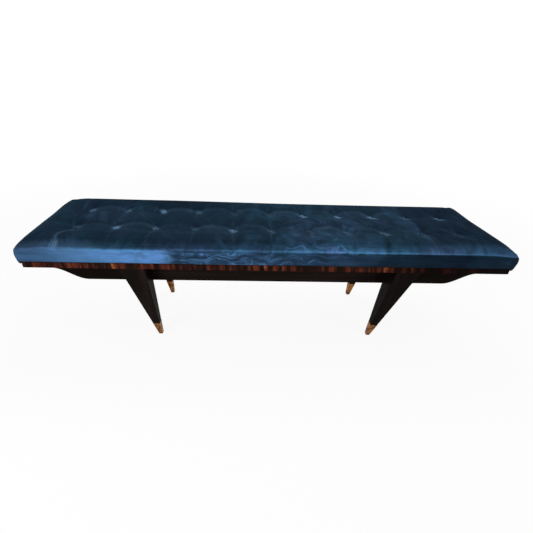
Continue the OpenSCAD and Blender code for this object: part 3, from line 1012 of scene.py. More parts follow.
    def dress(
        self, finish: Finish, slot: str, *nodes: str, angle: float = 42, flat: bool = True
    ) -> bpy.types.Object:
        """Smooths the blank, gives it its finish and stands it in for CAD nodes.

        Args:
            finish: Its finish.
            slot: Name of a material slot; not used.
            nodes: The CAD nodes that it replaces.
            angle: Angle up to which edges look smooth, in degrees.
            flat: Whether broad faces keep an even shade beside rounded edges.

        Returns:
            The finished piece.
        """
        self.hold()
        bpy.ops.object.shade_smooth_by_angle(angle=math.radians(angle))
        if flat:
            self.finish_with("WEIGHTED_NORMAL", keep_sharp=True, weight=80)
        self.obj.data.materials.clear()
        self.obj.data.materials.append(finish.material())
        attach(self.obj, "root")
        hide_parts(*nodes)
        faces = len(self.obj.data.polygons)
        log.info("%-18s %6d faces, stands for %s", self.obj.name, faces, ", ".join(nodes))
        return self.obj


def smooth(value: Values, low: float, high: float) -> Values:
    """A smooth step from 0 at low to 1 at high."""
    t = np.clip((value - low) / (high - low), 0, 1)
    return t * t * (3 - 2 * t)


def hump(distance: Values, width: float) -> Values:
    """A bell of height 1 whose sides fall off over a width."""
    return np.exp(-((distance / width) ** 2))


@dataclass
class Cushion:
    """The velvet cushion: a crowned top with two rows of tufts, a seam and a drawn-in border."""

    seam_x: float = highest("cushion_cover")[0]
    seam_y: float = highest("cushion_cover")[1]
    draw_end: float = 0.0
    draw_side: float = 0.007
    corner_r: float = 0.022
    corner_steps: int = 8
    end_bow: float = 0.006
    base_z: float = lowest("cushion_cover")[2]
    crown_z: float = highest("cushion_cover")[2]
    crown_h: float = 0.022
    belly_drop: float = 0.024
    droop_left: float = 0.005
    droop_right: float = 0.008
    droop_reach: tuple[float, float] = (0.070, 0.055)
    worn_drop: float = 0.009
    worn_reach: tuple[float, float] = (0.060, 0.105)
    worn_pull: float = 0.0032
    worn_r: float = 0.050
    back_fill: float = 0.008
    end_bulge: float = 0.007
    bulge_drop: float = 0.034
    edge_w: float = 0.040
    turn_under: float = 0.035
    recess: float = 0.004
    lip_x: float = highest("band_right")[0] + 0.0015
    lip_drop: float = 0.011
    lip_tuck: float = 0.0025
    foam_r: float = 0.0127
    topper_r: float = 0.001
    foam_gap: float = 0.003
    columns: int = 11
    button_r: float = 0.009
    button_z: float = lowest("tuft_buttons")[2]
    button_skirt: float = 0.0012
    button_dome: float = 0.42
    button_tuck: float = 0.86
    button_steps: tuple[int, int] = (24, 14)
    last_x: float = highest("tuft_buttons")[0] - 0.009
    row_y: float = highest("tuft_buttons")[1] - 0.009
    tuft_depth: float = 0.0140
    tuft_w: float = 0.013
    tuft_tail: float = 0.024
    row_depth: float = 0.0016
    row_w: float = 0.024
    arc_rise: float = 0.033
    arc_depth: float = 0.0015
    arc_lip: float = 0.0013
    fold_w: float = 0.0055
    fold_depth: float = 0.0016
    pleat_depth: float = 0.0012
    gather_depth: float = 0.0007
    gathers: tuple[tuple[float, float], ...] = (
        (-0.788, 0.7),
        (-0.779, 1.0),
        (-0.771, 0.8),
        (0.580, 0.8),
        (0.590, 0.6),
        (0.603, 1.0),
        (0.615, 0.5),
    )
    # Strength of the painted glint on each tuft of the back row and of the front row.
    glints_back: tuple[float, ...] = (0.45, 0.3, 0.9, 0.35, 0.15, 0.2, 1.6, 1.6, 1.2, 0.5, 0.8)
    glints_front: tuple[float, ...] = (0.1, 1.0, 0.45, 0.2, 1.4, 0.45, 0.2, 0.5, 0.6, 0.2, 0.1)
    voxel: float = 0.0071
    cap: float = 0.005
    slack: float = 0.004
    slack_w: float = 0.02
    held_tuft: float = 0.003
    held_hem: float = 0.010
    held_seam: float = 0.006
    pressure: float = 4
    quality: int = 4
    swell_frames: int = 20
    seam_depth: float = 0.0013
    pucker_depth: float = 0.0006
    groove_drop: float = 0.0012
    groove_w: float = 0.0024
    ripple_depth: float = 0.0005
    under_gap: float = 0.0012

    @property
    def seam_z(self) -> float:
        """Height of the seam between the top panel and the border."""
        return self.crown_z - self.crown_h

    @property
    def hem(self) -> tuple[float, float]:
        """Half sizes of the border's lower edge."""
        return self.seam_x - self.draw_end, self.seam_y - self.draw_side

    @property
    def pitch(self) -> float:
        """Distance between two columns of tufts."""
        return 2 * self.last_x / (self.columns - 1)

    @property
    def tuft_x(self) -> list[float]:
        """X of each column of tufts."""
        return [(i - (self.columns - 1) / 2) * self.pitch for i in range(self.columns)]

    @property
    def rows_y(self) -> tuple[float, float]:
        """Y of the front and the back row of tufts."""
        return -self.row_y, self.row_y

    def from_tuft(self, x: Values, y: Values) -> Values:
        """Distance from each point to the nearest tuft."""
        dx = np.min([np.abs(x - t) for t in self.tuft_x], axis=0)
        return np.hypot(dx, np.abs(np.abs(y) - self.row_y))

    def seam_height(self, x: Values, y: Values) -> Values:
        """Height of the seam: lower at the front corners and the worn one, fuller along the back.

        Args:
            x: X of each point.
            y: Y of each point.

        Returns:
            Z of the seam beside each point.
        """
        across, along = self.droop_reach
        corner = hump(self.seam_x - np.abs(x), across) * hump(self.seam_y + y, along)
        droop = np.where(x < 0, self.droop_left, self.droop_right) * corner
        across, along = self.worn_reach
        droop += self.worn_drop * hump(self.seam_x + x, across) * hump(self.seam_y - y, along)
        full = (0.52 + 0.55 * smooth(-x, -0.2, 0.5)) * smooth(y, 0.05, 0.22)
        return self.seam_z - droop + self.back_fill * full

    def crown(self, x: Values, y: Values) -> Values:
        """Height of the stuffed top before any crease is sewn or folded into it.

        Args:
            x: X of each point.
            y: Y of each point.

        Returns:
            Z of each point.
        """
        rise = 1.0
        for inside in (self.seam_x - np.abs(x), self.seam_y - np.abs(y)):
            rise = rise * (1 - (1 - np.clip(inside / self.edge_w, 0, 1)) ** 2)
        near = np.maximum(self.from_tuft(x, y) - self.button_r, 0)
        dent = self.tuft_depth * (0.68 * hump(near, self.tuft_w) + 0.32 * np.exp(-near / self.tuft_tail))
        ends = smooth(self.tuft_x[-1] + 0.05 - np.abs(x), 0, 0.05)
        rows = self.row_depth * hump(np.abs(y) - self.row_y, self.row_w) * ends
        dip = np.minimum(dent + rows * (1 - dent / self.tuft_depth), self.tuft_depth)
        full = self.crown_h - self.slack * smooth(near, 0.0, self.slack_w)
        return self.seam_height(x, y) + rise * (full - dip)

    def over_foam(self, x: Values, y: Values) -> Values:
        """Least height of the top that keeps the cloth clear of the foam blocks inside.

        Args:
            x: X of each point.
            y: Y of each point.

        Returns:
            The least Z of each point, which falls off outside the blocks.
        """
        least = np.zeros_like(x)
        for node, radius in (("foam_base", self.foam_r), ("foam_topper", self.topper_r)):
            half_x, half_y, top = highest(node)
            dx = np.maximum(np.abs(x) - half_x + radius, 0)
            dy = np.maximum(np.abs(y) - half_y + radius, 0)
            away = np.maximum(np.hypot(dx, dy) - radius - self.foam_gap, 0)
            least = np.maximum(least, top + self.foam_gap - away)
        return least

    def row_arcs(self, x: Values, y: Values, row: float) -> tuple[Values, Values]:
        """The fold that bows backwards from each tuft of a row to the next.

        Args:
            x: X of each point.
            y: Y of each point.
            row: Y of the row.

        Returns:
            How far each point lies behind the fold, and how strong the fold is there.
        """
        # Whole numbers fall on tufts, and each bay between two has a lift, lean and strength of its own.
        along = (x + self.pitch * (self.columns - 1) / 2) / self.pitch
        bay = np.clip(np.floor(along), 0, self.columns - 2)
        s = np.clip(along - bay, 0, 1)
        lift = self.arc_rise * (1 + 0.30 * np.sin(2.3 * bay - 0.8 + 5 * row))
        lean = 0.10 * np.sin(1.7 * bay + 9 * row)
        path = row + lift * (4 * s * (1 - s)) ** 0.8 * (1 + lean * (2 * s - 1))
        inside = ((along > 0) & (along < self.columns - 1)) * (1 - 0.8 * smooth(x, 0.48, 0.60))
        strength = inside * (0.66 + 0.34 * np.cos(2.3 * bay + 17 * row)) * (1 - 0.30 * 4 * s * (1 - s))
        return y - path, strength

    def column_folds(self, x: Values, y: Values) -> Values:
        """The folds that run from each tuft to the next row and to the edge.

        Args:
            x: X of each point.
            y: Y of each point.

        Returns:
            Depth of the folds at each point, from 0 to 1.
        """
        depth = np.zeros_like(x)
        # Each fold bows, wanders and fades in its own way. The first and the last bow far outwards.
        swings = [0.25 * math.sin(2.1 * i) for i in range(self.columns)]
        swings[0], swings[-1] = -1.7, 1
        for i, tuft in enumerate(self.tuft_x):
            bow = 0.020 * np.sin(np.pi * smooth(-y, 0.085, 0.26)) * swings[i]
            wander = 0.004 * np.sin(27 * y + 1.9 * i)
            lean = -0.40 * np.clip(y + self.row_y, 0, 0.09) * (tuft < -0.2)
            line = np.abs(x - tuft - bow - wander - lean)
            outer = (0.72 + 0.28 * math.sin(2.9 * i + 1)) * np.where(y < 0, 1, 0.45)
            between = (0.50 + 0.25 * math.sin(1.3 * i)) * (1 - 0.9 * smooth(y, -0.06, 0.02))
            reach = np.where(np.abs(y) < self.row_y, between, outer)
            fade = 1 - (0.10 if i == 0 else 0.55) * smooth(np.abs(np.abs(y) - self.row_y), 0.01, 0.085)
            fade = fade * smooth(self.seam_y - np.abs(y), 0.002, 0.02)
            depth = np.maximum(depth, hump(line, self.fold_w) * reach * fade)
        return depth

    def pleats(self, x: Values, y: Values) -> Values:
        """Small gathers beside the seam near the ends.

        Args:
            x: X of each point.
            y: Y of each point.

        Returns:
            Depth of the gathers at each point, from 0 to 1.
        """
        depth = np.zeros_like(x)
        for at, strength in self.gathers:
            depth = np.maximum(depth, strength * hump(x - at - 0.05 * (y + self.seam_y), 0.0030))
        fade_in = smooth(-y, self.seam_y - 0.045, self.seam_y - 0.022)
        return depth * fade_in * smooth(y, -self.seam_y + 0.003, -self.seam_y + 0.011)

    def creases(self, x: Values, y: Values) -> Values:
        """Height that the folds and gathers add to the stuffed top.

        Args:
            x: X of each point.
            y: Y of each point.

        Returns:
            The height to add at each point.
        """
        near = self.from_tuft(x, y)
        height = np.zeros_like(x)
        for row in self.rows_y:
            behind, strength = self.row_arcs(x, y, row)
            valley = -self.arc_depth * hump(behind + 0.004, 0.0048)
            lip = self.arc_lip * hump(behind - 0.006, 0.006)
            height = height + strength * (valley + lip)
        height = height - self.fold_depth * self.column_folds(x, y) - self.pleat_depth * self.pleats(x, y)
        # Nine fine gathers stand round each button.
        dx = x - np.round(x / self.pitch) * self.pitch
        dy = np.abs(y) - self.row_y
        gather = np.cos(9 * np.arctan2(dy, dx)) * hump(near - 0.016, 0.008)
        return height * smooth(near, self.button_r, self.button_r + 0.014) + self.gather_depth * gather

    def tuft_marks(self, x: Values, y: Values) -> tuple[Values, Values]:
        """Painted shade in the hollow round each tuft, and the painted glint on it.

        Args:
            x: X of each point.
            y: Y of each point.

        Returns:
            How far painted shade darkens the pile, and how strong the painted glint is, at each point.
        """
        dark, pale = np.zeros_like(x), np.zeros_like(x)
        for row, glints in zip(self.rows_y, (self.glints_front, self.glints_back)):
            for tuft, bright in zip(self.tuft_x, glints):
                dx, dy = x - tuft, y - row
                # The painted glint is a short stroke, turned one way on the left and another on the rest.
                turn = math.radians(-48 + 150 * math.exp(-(((tuft + 0.68) / 0.10) ** 2)))
                far = 0.010 if tuft < -0.3 else -0.012 if tuft > 0.1 and row > 0 else -0.002
                along = (dx - 0.003) * math.cos(turn) + (dy - far) * math.sin(turn)
                across = (dy - far) * math.cos(turn) - (dx - 0.003) * math.sin(turn)
                long = 2.1 if tuft > 0.4 else 1.5
                pale += (0.05 + 0.54 * bright) * hump(np.hypot(along / long, across), 0.0088)
                # Painted shade darkens the pile in the hollow on both sides of it.
                dark += (0.05 + 0.08 * bright) * hump(np.hypot(dx + 0.014, dy - far + 0.014), 0.014)
                dark += 0.08 * hump(np.hypot(dx - 0.010, dy - far - 0.020), 0.013)
        return dark, pale

    @staticmethod
    def facing_up(normal: Values) -> Values:
        """A factor that goes from 0 on the border to 1 on the top panel."""
        return smooth(normal[:, 2], 0.25, 0.60)

    def nap_and_painted_light_on_top(self, x: Values, y: Values) -> Values:
        """How far the pile of the top panel is brushed towards the light, with painted light and shade laid
        over it.

        Args:
            x: X of each point.
            y: Y of each point.

        Returns:
            The value at each point, from 0 to 1.
        """
        # Broad patches: darker to the left, paler right of the middle, dark along parts of the back.
        nap = 0.25 - 0.03 * smooth(-x, 0.30, 0.70) - 0.05 * hump(x + 0.34, 0.18)
        nap += (0.06 + 0.06 * smooth(-y, 0, 0.15)) * hump(x - 0.19, 0.19)
        nap -= (0.02 + 0.20 * hump(x + 0.37, 0.12) + 0.10 * hump(x - 0.44, 0.12)) * smooth(y, 0.10, 0.19)
        # Each fold gets a painted highlight along its line and painted shade behind it.
        for row in self.rows_y:
            behind, strength = self.row_arcs(x, y, row)
            nap += strength * (0.05 * hump(behind - 0.001, 0.0062) - 0.06 * hump(behind - 0.020, 0.012))
        # Painted highlights lie along the column folds and the gathers.
        nap += 0.04 * self.column_folds(x, y) + 0.06 * self.pleats(x, y)
        # Right of this slanting line the pile is brushed the other way.
        edge = 0.614 - 0.094 * y + 0.003 * np.sin(37 * y)
        nap -= 0.14 * smooth(x - edge, 0, 0.006) * smooth(y, -0.215, -0.165)
        nap += 0.08 * hump(np.minimum(x - edge, 0), 0.050) * (x < edge) * smooth(y, -0.22, -0.10)
        # The front edge rolls over towards the light and gets painted light; the other edges turn away from
        # it and get painted shade.
        wide = 0.030 * smooth(x, 0.40, 0.80)
        roll = smooth(-y, 0.196 - wide, 0.240)
        nap += roll * (0.17 + 0.12 * smooth(x, -0.05, 0.30) - 0.03 * smooth(-x, 0.62, 0.84))
        nap += 0.06 * hump(x - 0.17, 0.16) * hump(y + 0.175, 0.05)
        nap -= 0.20 * smooth(np.maximum(np.abs(x) - self.seam_x, y - self.seam_y), -0.018, -0.004)
        # Painted shade darkens the hollow round each tuft.
        return nap - self.tuft_marks(x, y)[0]

    def painted_shine(self, at: Values, normal: Values) -> Values:
        """Painted highlights where folds, gathers, tufts and the left front edge show pale.

        Args:
            at: Place of each point, in rows.
            normal: Direction that each point faces, in rows.

        Returns:
            The painted highlight at each point, from 0 to 1.
        """
        x, y, _ = at.T
        pale = self.tuft_marks(x, y)[1]
        for row in self.rows_y:
            behind, strength = self.row_arcs(x, y, row)
            near = 0.45 * hump(behind, 0.014) + 0.55 * hump(behind, 0.040)
            pale += 0.060 * strength * np.where(behind > 0, hump(behind, 0.009), near)
        left_front = smooth(-x, 0.68, 0.76) * (y < -self.row_y)
        pale += (0.06 + 0.08 * left_front) * self.column_folds(x, y)
        pale += (0.08 + 0.11 * (x < 0)) * self.pleats(x, y)
        pale += 0.045 * smooth(-x, 0.45, 0.75) * smooth(-y, 0.200, 0.235)
        return pale * self.facing_up(normal)

    def nap_and_painted_light_on_front(self, x: Values, rise: Values) -> Values:
        """The front border, partly brushed pile and partly painted light and shade: bright to the left,
        mottled in the middle, dark to the right.

        Args:
            x: X of each point.
            rise: Share of the border's height at each point.

        Returns:
            The value at each point.
        """
        left = 0.90 * smooth(-x, 0.29, 0.43) * (1 - 0.50 * smooth(-x, 0.48, 0.88))
        left = left + 0.04 * smooth(-x, 0.78, 0.88)
        middle = 0.35 * (1 - smooth(x, 0.22, 0.62)) + 0.09 * hump(x + 0.07, 0.10)
        right = 0.14 * smooth(x, 0.70, 0.80) * (1 - smooth(x, 0.87, 0.905))
        rolled = 0.24 * hump(rise - 0.07, 0.06) * smooth(x, -0.36, -0.26) * (1 - smooth(x, -0.10, 0.10))
        # Painted shade darkens the foot of the border.
        return 0.09 + np.maximum(left, middle) + right - 0.08 * hump(rise, 0.12) + rolled

    def nap(self, at: Values, normal: Values) -> Values:
        """How far the pile is brushed towards the light, with painted light, shade and highlights laid over
        it.

        Args:
            at: Place of each point, in rows.
            normal: Direction that each point faces, in rows.

        Returns:
            The value at each point, from 0 to 1.
        """
        x, y, z = at.T
        seam = self.seam_height(x, y)
        rise = (z - self.base_z) / (seam - self.base_z)
        back = 0.34 + 0.22 * np.sin(4.1 * x + 0.6) * np.sin(1.7 * x + 50 * z)
        end = np.where(x < 0, 0.36, 0.13) + np.where(x < 0, 0.12, 0.06) * np.sin(19 * y + 35 * z)
        front = self.nap_and_painted_light_on_front(x, rise)
        side = np.where(np.abs(normal[:, 0]) > 0.7, end, np.where(y < 0, front, back))
        upward = self.facing_up(normal) * smooth(z, seam - 0.003, seam)
        # A painted highlight runs along the front seam.
        line = 0.24 * hump(z - seam - 0.001, 0.0028) * smooth(-y, 0.20, 0.23)
        line = line * (1 - 0.35 * smooth(x, 0.45, 0.60))
        return np.clip(upward * self.nap_and_painted_light_on_top(x, y) + (1 - upward) * side + line, 0, 1)

    def ruffle(self, at: Values, normal: Values) -> Values:
        """How far the pile is ruffled into swirls.

        Args:
            at: Place of each point, in rows.
            normal: Direction that each point faces, in rows.

        Returns:
            The ruffle at each point, from 0 to 1.
        """
        x, y, _ = at.T
        middle = 0.58 * smooth(x, -0.38, -0.28) * (1 - 0.95 * smooth(x, -0.05, 0.36))
        front = 0.60 * hump(x + 0.42, 0.12) + middle + 0.03
        border = np.where(y < 0, front, 0.3)
        top = 0.05 + 0.34 * hump(x - 0.19, 0.19) * smooth(-y, -0.12, 0.08) + 0.08 * smooth(-y, 0.195, 0.235)
        upward = self.facing_up(normal)
        return upward * top + (1 - upward) * border

    def block(self) -> Blank:
        """A block with rounded corners and a drawn-in foot, in small even faces.

        Returns:
            The blank.
        """
        low = (-self.seam_x, -self.seam_y, self.base_z)
        form = Blank.box("cushion", low, (self.seam_x, self.seam_y, self.seam_z))
        with form.editing():
            form.bevel(self.corner_r, self.corner_steps, lambda c, way: abs(way.z) > SQUARE_ON)
            form.cut((0, 0, self.seam_z - self.belly_drop), (0, 0, 1))
            form.pick(Pick.FACES, lambda c, n: n.z < -SQUARE_ON)
            form.stretch((self.hem[0] / self.seam_x, self.hem[1] / self.seam_y, 1), (0, 0, 0))
        form.finish_with("REMESH", mode="VOXEL", voxel_size=self.voxel, use_smooth_shade=True)
        return form

    def stuffed_form(self) -> Blank:
        """Shapes the closed form that the stuffing fills.

        Returns:
            The blank.
        """
        form = self.block()
        at = form.rows("co")
        # These are views, so they follow each of the moves below.
        x, y, z = at.T
        flat = z > self.seam_z - 0.25 * self.voxel
        wall = ~flat
        share = (z[wall] - self.base_z) / (self.seam_z - self.base_z)
        at[wall, 2] += share * (self.seam_height(x[wall], y[wall]) - self.seam_z)
        at[flat, 2] = self.crown(x[flat], y[flat])
        outer = smooth(np.abs(x), self.seam_x - 0.030, self.seam_x) * smooth(-y, -0.05, 0.20)
        below = z - self.seam_z + self.bulge_drop
        at[:, 0] += self.end_bulge * np.sign(x) * outer * hump(below, np.where(below < 0, 0.055, 0.024))
        bow = self.end_bow * (1 - (y / self.seam_y) ** 2) * smooth(z, self.base_z, self.seam_z)
        at[:, 0] += bow * np.sign(x) * smooth(np.abs(x), self.seam_x - 0.060, self.seam_x)
        pull = self.worn_pull * hump(np.hypot(x + self.seam_x, y - self.seam_y), self.worn_r)
        pull *= smooth(z, self.base_z + 0.008, self.seam_z)
        at[:, :2] += pull[:, None] * (1, -1)
        at[flat, 2] = np.maximum(at[flat, 2], self.over_foam(at[flat, 0], at[flat, 1]))
        form.put(at)
        return form

    def held(self, at: Values) -> Values:
        """Which points the swelling leaves in place: the tufts, the hem and the seam.

        Args:
            at: Place of each point, in rows.

        Returns:
            Whether each point is held.
        """
        x, y, z = at.T
        seam = self.seam_height(x, y)
        tufts = (self.from_tuft(x, y) < self.button_r + self.held_tuft) & (z > seam)
        hem = z < self.base_z + self.held_hem
        rim = np.minimum(self.seam_x - np.abs(x), self.seam_y - np.abs(y)) < self.held_seam
        return tufts | hem | (rim & (np.abs(z - seam) < self.held_seam))

    def inflate(self, form: Blank) -> None:
        """Lets the stuffing push the cloth out between the tufts and the seams.

        Args:
            form: The stuffed form.
        """
        start = form.rows("co")
        group = form.obj.vertex_groups.new(name="held")
        group.add(np.flatnonzero(self.held(start)).tolist(), 1.0, "REPLACE")
        form.hold()
        cloth = form.obj.modifiers.new("cloth", "CLOTH")
        settings = cloth.settings
        settings.vertex_group_mass = group.name
        settings.use_pressure = True
        settings.uniform_pressure_force = self.pressure
        settings.effector_weights.gravity = 0
        settings.quality = self.quality
        for step in range(1, self.swell_frames + 1):
            bpy.context.scene.frame_set(step)
        bpy.ops.object.modifier_apply(modifier=cloth.name)
        move = form.rows("co") - start
        length = np.linalg.norm(move, axis=1)
        log.info("cushion swelled by %.1f mm at most before the cap", 1000 * length.max())
        move *= np.minimum(1, self.cap / np.maximum(length, 1e-9))[:, None]
        form.put(start + move)
        form.obj.vertex_groups.clear()
        bpy.context.scene.frame_set(1)

    def sew(self, form: Blank) -> None:
        """Folds the creases into the top and draws the seam in.

        Args:
            form: The swollen form.
        """
        at = form.rows("co")
        x, y, _ = at.T
        normal = form.rows("normal")
        at[:, 2] += smooth(normal[:, 2], 0.2, 0.6) * self.creases(x, y)
        to_seam = at[:, 2] - self.seam_height(x, y)
        border = smooth(-normal[:, 2], -0.55, -0.2)
        rim = smooth(np.maximum(np.abs(x) - self.seam_x, np.abs(y) - self.seam_y), -0.012, -0.004)
        pucker = 0.5 + 0.5 * np.sin(180 * (x + 1.3 * y) + 2 * np.sin(23 * x))
        drawn_in = hump(to_seam + self.groove_drop, self.groove_w)
        groove = (self.seam_depth + self.pucker_depth * pucker) * drawn_in * rim
        waves = self.ripple_depth * np.sin(46 * (x + y) + 3 * np.sin(11 * x))
        ripple = waves * hump(to_seam + 0.012, 0.014) * border * rim
        at -= normal * groove[:, None]
        at += normal * ripple[:, None]
        form.put(at)

    def turn_cloth_under(self, form: Blank) -> None:
        """Closes the underside round a shallow recess.

        Args:
            form: The sewn form.
        """
        level = self.base_z + self.under_gap
        inner_x, inner_y = (half - self.turn_under for half in self.hem)

        def underneath(c: Vector, n: Vector) -> bool:
            """Whether a face belongs to the underside."""
            return n.z < -0.98 and c.z < level

        def recessed(c: Vector, n: Vector) -> bool:
            """Whether a face belongs to the underside's recess."""
            return underneath(c, n) and abs(c.x) < inner_x and abs(c.y) < inner_y

        with form.editing():
            form.pick(Pick.FACES, underneath)
            bpy.ops.mesh.delete(type="FACE")
            bpy.ops.mesh.select_mode(type="EDGE")
            bpy.ops.mesh.select_non_manifold(extend=False)
            bpy.ops.mesh.edge_face_add()
            cuts = [((x, 0, 0), (1, 0, 0)) for x in (-self.lip_x, -inner_x, inner_x, self.lip_x)]
            cuts += [((0, y, 0), (0, 1, 0)) for y in (-inner_y, inner_y)]
            for place, way in cuts:
                form.pick(Pick.FACES, underneath)
                bpy.ops.mesh.bisect(plane_co=place, plane_no=way)
            form.pick(Pick.FACES, recessed)
            form.draw_out(self.recess)

    def hang_ends(self, form: Blank) -> None:
        """Lets the ends of the cloth hang a little over the lipping.

        Args:
            form: The form with its underside closed.
        """
        at = form.rows("co")
        outside = smooth(np.abs(at[:, 0]), self.lip_x, self.lip_x + 0.005)
        hang = outside * (1 - smooth(at[:, 2], self.base_z + 0.002, self.base_z + 0.024))
        at[:, 0] -= self.lip_tuck * np.sign(at[:, 0]) * hang
        at[:, 2] -= self.lip_drop * hang
        form.put(at)

    def build_pad(self) -> None:
        """Makes the cushion itself."""
        form = self.stuffed_form()
        self.inflate(form)
        form.finish_with("SUBSURF", levels=1, render_levels=1)
        self.sew(form)
        self.turn_cloth_under(form)
        self.hang_ends(form)
        at, normal = form.rows("co"), form.rows("normal")
        for name, layer in (("nap", self.nap), ("ruffle", self.ruffle), ("painted_shine", self.painted_shine)):
            form.mark(name, layer(at, normal))
        pad = form.dress(VELVET, "velvet", "cushion_cover", angle=60, flat=False)

    def button(self) -> Blank:
        """Models one covered button: the cap of a ball, made lower, on a short drawn-in skirt.

        Returns:
            The blank.
        """
        skirt = self.button_skirt
        segments, rings = self.button_steps
        bpy.ops.mesh.primitive_uv_sphere_add(
            segments=segments, ring_count=rings, radius=self.button_r, location=(0, 0, 0)
        )
        button = Blank(bpy.context.active_object, "tuft_buttons")
        with button.editing():
            button.cut((0, 0, skirt), (0, 0, -1), clear_outer=True, use_fill=True)
            bpy.ops.mesh.select_all(action="SELECT")
            button.stretch((1, 1, self.button_dome), (0, 0, skirt))
            button.pick(Pick.FACES, lambda c, n: n.z < -SQUARE_ON)
            button.draw_out(-skirt)
            button.stretch((self.button_tuck, self.button_tuck, 1), (0, 0, 0))
        return button

    def build_buttons(self) -> None:
        """Copies the button into every tuft and gives the buttons their painted glints."""
        button = self.button()
        copies = []
        for i, x in enumerate(self.tuft_x):
            for y in self.rows_y:
                copies.append(button.twin(f"button_{i}", shift=(x, y, self.button_z)))
        button.throw_away()
        whole = copies[0].take_in(*copies[1:])
        whole.obj.name = "tuft_buttons_covered"
        x, y, _ = whole.rows("co").T
        column = np.round(x / self.pitch + (self.columns - 1) / 2).astype(int)
        near = np.hypot(x - np.array(self.tuft_x)[column], y - np.sign(y) * self.row_y + 0.001)
        glint = np.where(y < 0, np.array(self.glints_front)[column], np.array(self.glints_back)[column])
        # The brighter tufts get paler pile and a painted highlight.
        whole.mark("nap", 0.22 + 0.10 * glint)
        whole.mark("painted_shine", (0.04 + 0.40 * glint) * hump(near, 0.007))
        pad = whole.dress(VELVET, "velvet", "tuft_buttons", angle=50, flat=False)

    def build(self) -> None:
        """Makes the cushion and its buttons."""
        self.build_pad()
        self.build_buttons()


@dataclass
class SeatEdge:
    """The crossbanded lipping round the seat frame, mitred at its corners."""

    out_x: float = highest("band_right")[0]
    out_y: float = highest("band_back")[1]
    thick: float = 0.003
    corner_r: float = 0.005
    corner_steps: int = 6
    low_z: float = lowest("band_right")[2]
    high_z: float = highest("band_right")[2]
    arris: float = 0.0005

    def ring(self) -> Blank:
        """Shapes the whole lipping: a block with a square hole and rounded outer corners.

        Returns:
            The blank.
        """
        low = (-self.out_x, -self.out_y, self.low_z)
        ring = Blank.box("lipping", low, (self.out_x, self.out_y, self.high_z))
        tip = self.out_x - self.thick / 2

        def at_tip(c: Vector, way: Vector) -> bool:
            """Whether an edge stands upright at an outer corner."""
            return abs(way.z) > SQUARE_ON and abs(c.x) > tip

        with ring.editing():
            ring.pick(Pick.FACES, lambda c, n: abs(n.z) > SQUARE_ON)
            bpy.ops.mesh.inset(thickness=self.thick)
            bpy.ops.mesh.bridge_edge_loops()
            ring.bevel(self.corner_r, self.corner_steps, at_tip)
        return ring

    def strip(self, ring: Blank, name: str, side: tuple[int, int]) -> Blank:
        """Cuts one side out of the ring, with a mitre at each end.

        Args:
            ring: The whole lipping.
            name: Name of the strip.
            side: The way that the side faces, as the signs of X and Y.

        Returns:
            The strip.
        """
        made = ring.twin(name)
        facing = Vector((*side, 0))
        along = Vector((side[1], side[0], 0))
        with made.editing():
            made.cut((0, 0, 0), -facing, clear_outer=True)
            for end in (-1, 1):
                corner = Vector((self.out_x, self.out_y, 0))
                corner.x *= side[0] or end * along.x
                corner.y *= side[1] or end * along.y
                made.cut(corner, end * along - facing, clear_outer=True, use_fill=True)
        made.soften(self.arris)
        return made

    def build(self) -> None:
        """Makes the four strips."""
        ring = self.ring()
        for where, side in (("back", (0, 1)), ("front", (0, -1)), ("right", (1, 0)), ("left", (-1, 0))):
            strip = self.strip(ring, f"crossband_{where}", side)
            strip.dress(CROSSBAND, "crossband", f"band_{where}")
        ring.throw_away()


@dataclass
class Aprons:
    """Long aprons whose lower edge steps up in an ogee, and plain end aprons."""

    face_y: float = highest("apron_back")[1]
    back_y: float = lowest("apron_back")[1]
    top_z: float = highest("apron_back")[2]
    deep_z: float = lowest("apron_back")[2]
    end_z: float = lowest("apron_right")[2]
    half_x: float = highest("apron_back")[0]
    curve_x: float = highest("apron_right")[0] - 0.159
    curve_l: float = 0.138
    end_out_x: float = highest("apron_right")[0]
    steps: int = 20
    arris: float = 0.0009
    least_turn: float = 60

    def long_apron(self) -> Blank:
        """Shapes the back apron: a board cut across at stations, whose lower corners are raised.

        Returns:
            The blank.
        """
        low = (-self.half_x, self.back_y, self.deep_z)
        board = Blank.box("apron_back_shaped", low, (self.half_x, self.face_y, self.top_z))
        stations = [self.curve_x + self.curve_l * i / self.steps for i in range(self.steps)]
        step = self.end_z - self.deep_z
        low_z = self.deep_z + CLOSE
        with board.editing():
            for x in [s * side for s in stations for side in (-1, 1)]:
                board.cut((x, 0, 0), (1, 0, 0))
            for x in [*stations[1:], self.half_x]:
                lift = step * (1 - math.cos(math.pi * (x - self.curve_x) / self.curve_l)) / 2
                board.pick(Pick.CORNERS, lambda c, n: abs(abs(c.x) - x) < CLOSE and c.z < low_z)
                board.shift((0, 0, lift))
        board.soften(self.arris, angle=self.least_turn)
        return board

    def end_apron(self) -> Blank:
        """Shapes the right end apron.

        Returns:
            The blank.
        """
        low = (self.half_x, -self.face_y, self.end_z)
        board = Blank.box("apron_right_shaped", low, (self.end_out_x, self.face_y, self.top_z))
        board.soften(self.arris)
        return board

    def build(self) -> None:
        """Makes the four aprons."""
        back, right = self.long_apron(), self.end_apron()
        front = back.twin("apron_front_shaped", (1, -1, 1))
        left = right.twin("apron_left_shaped", (-1, 1, 1))
        for apron, where in ((back, "back"), (front, "front"), (right, "right"), (left, "left")):
            apron.dress(APRON_WOOD, "dark_veneer", f"apron_{where}")


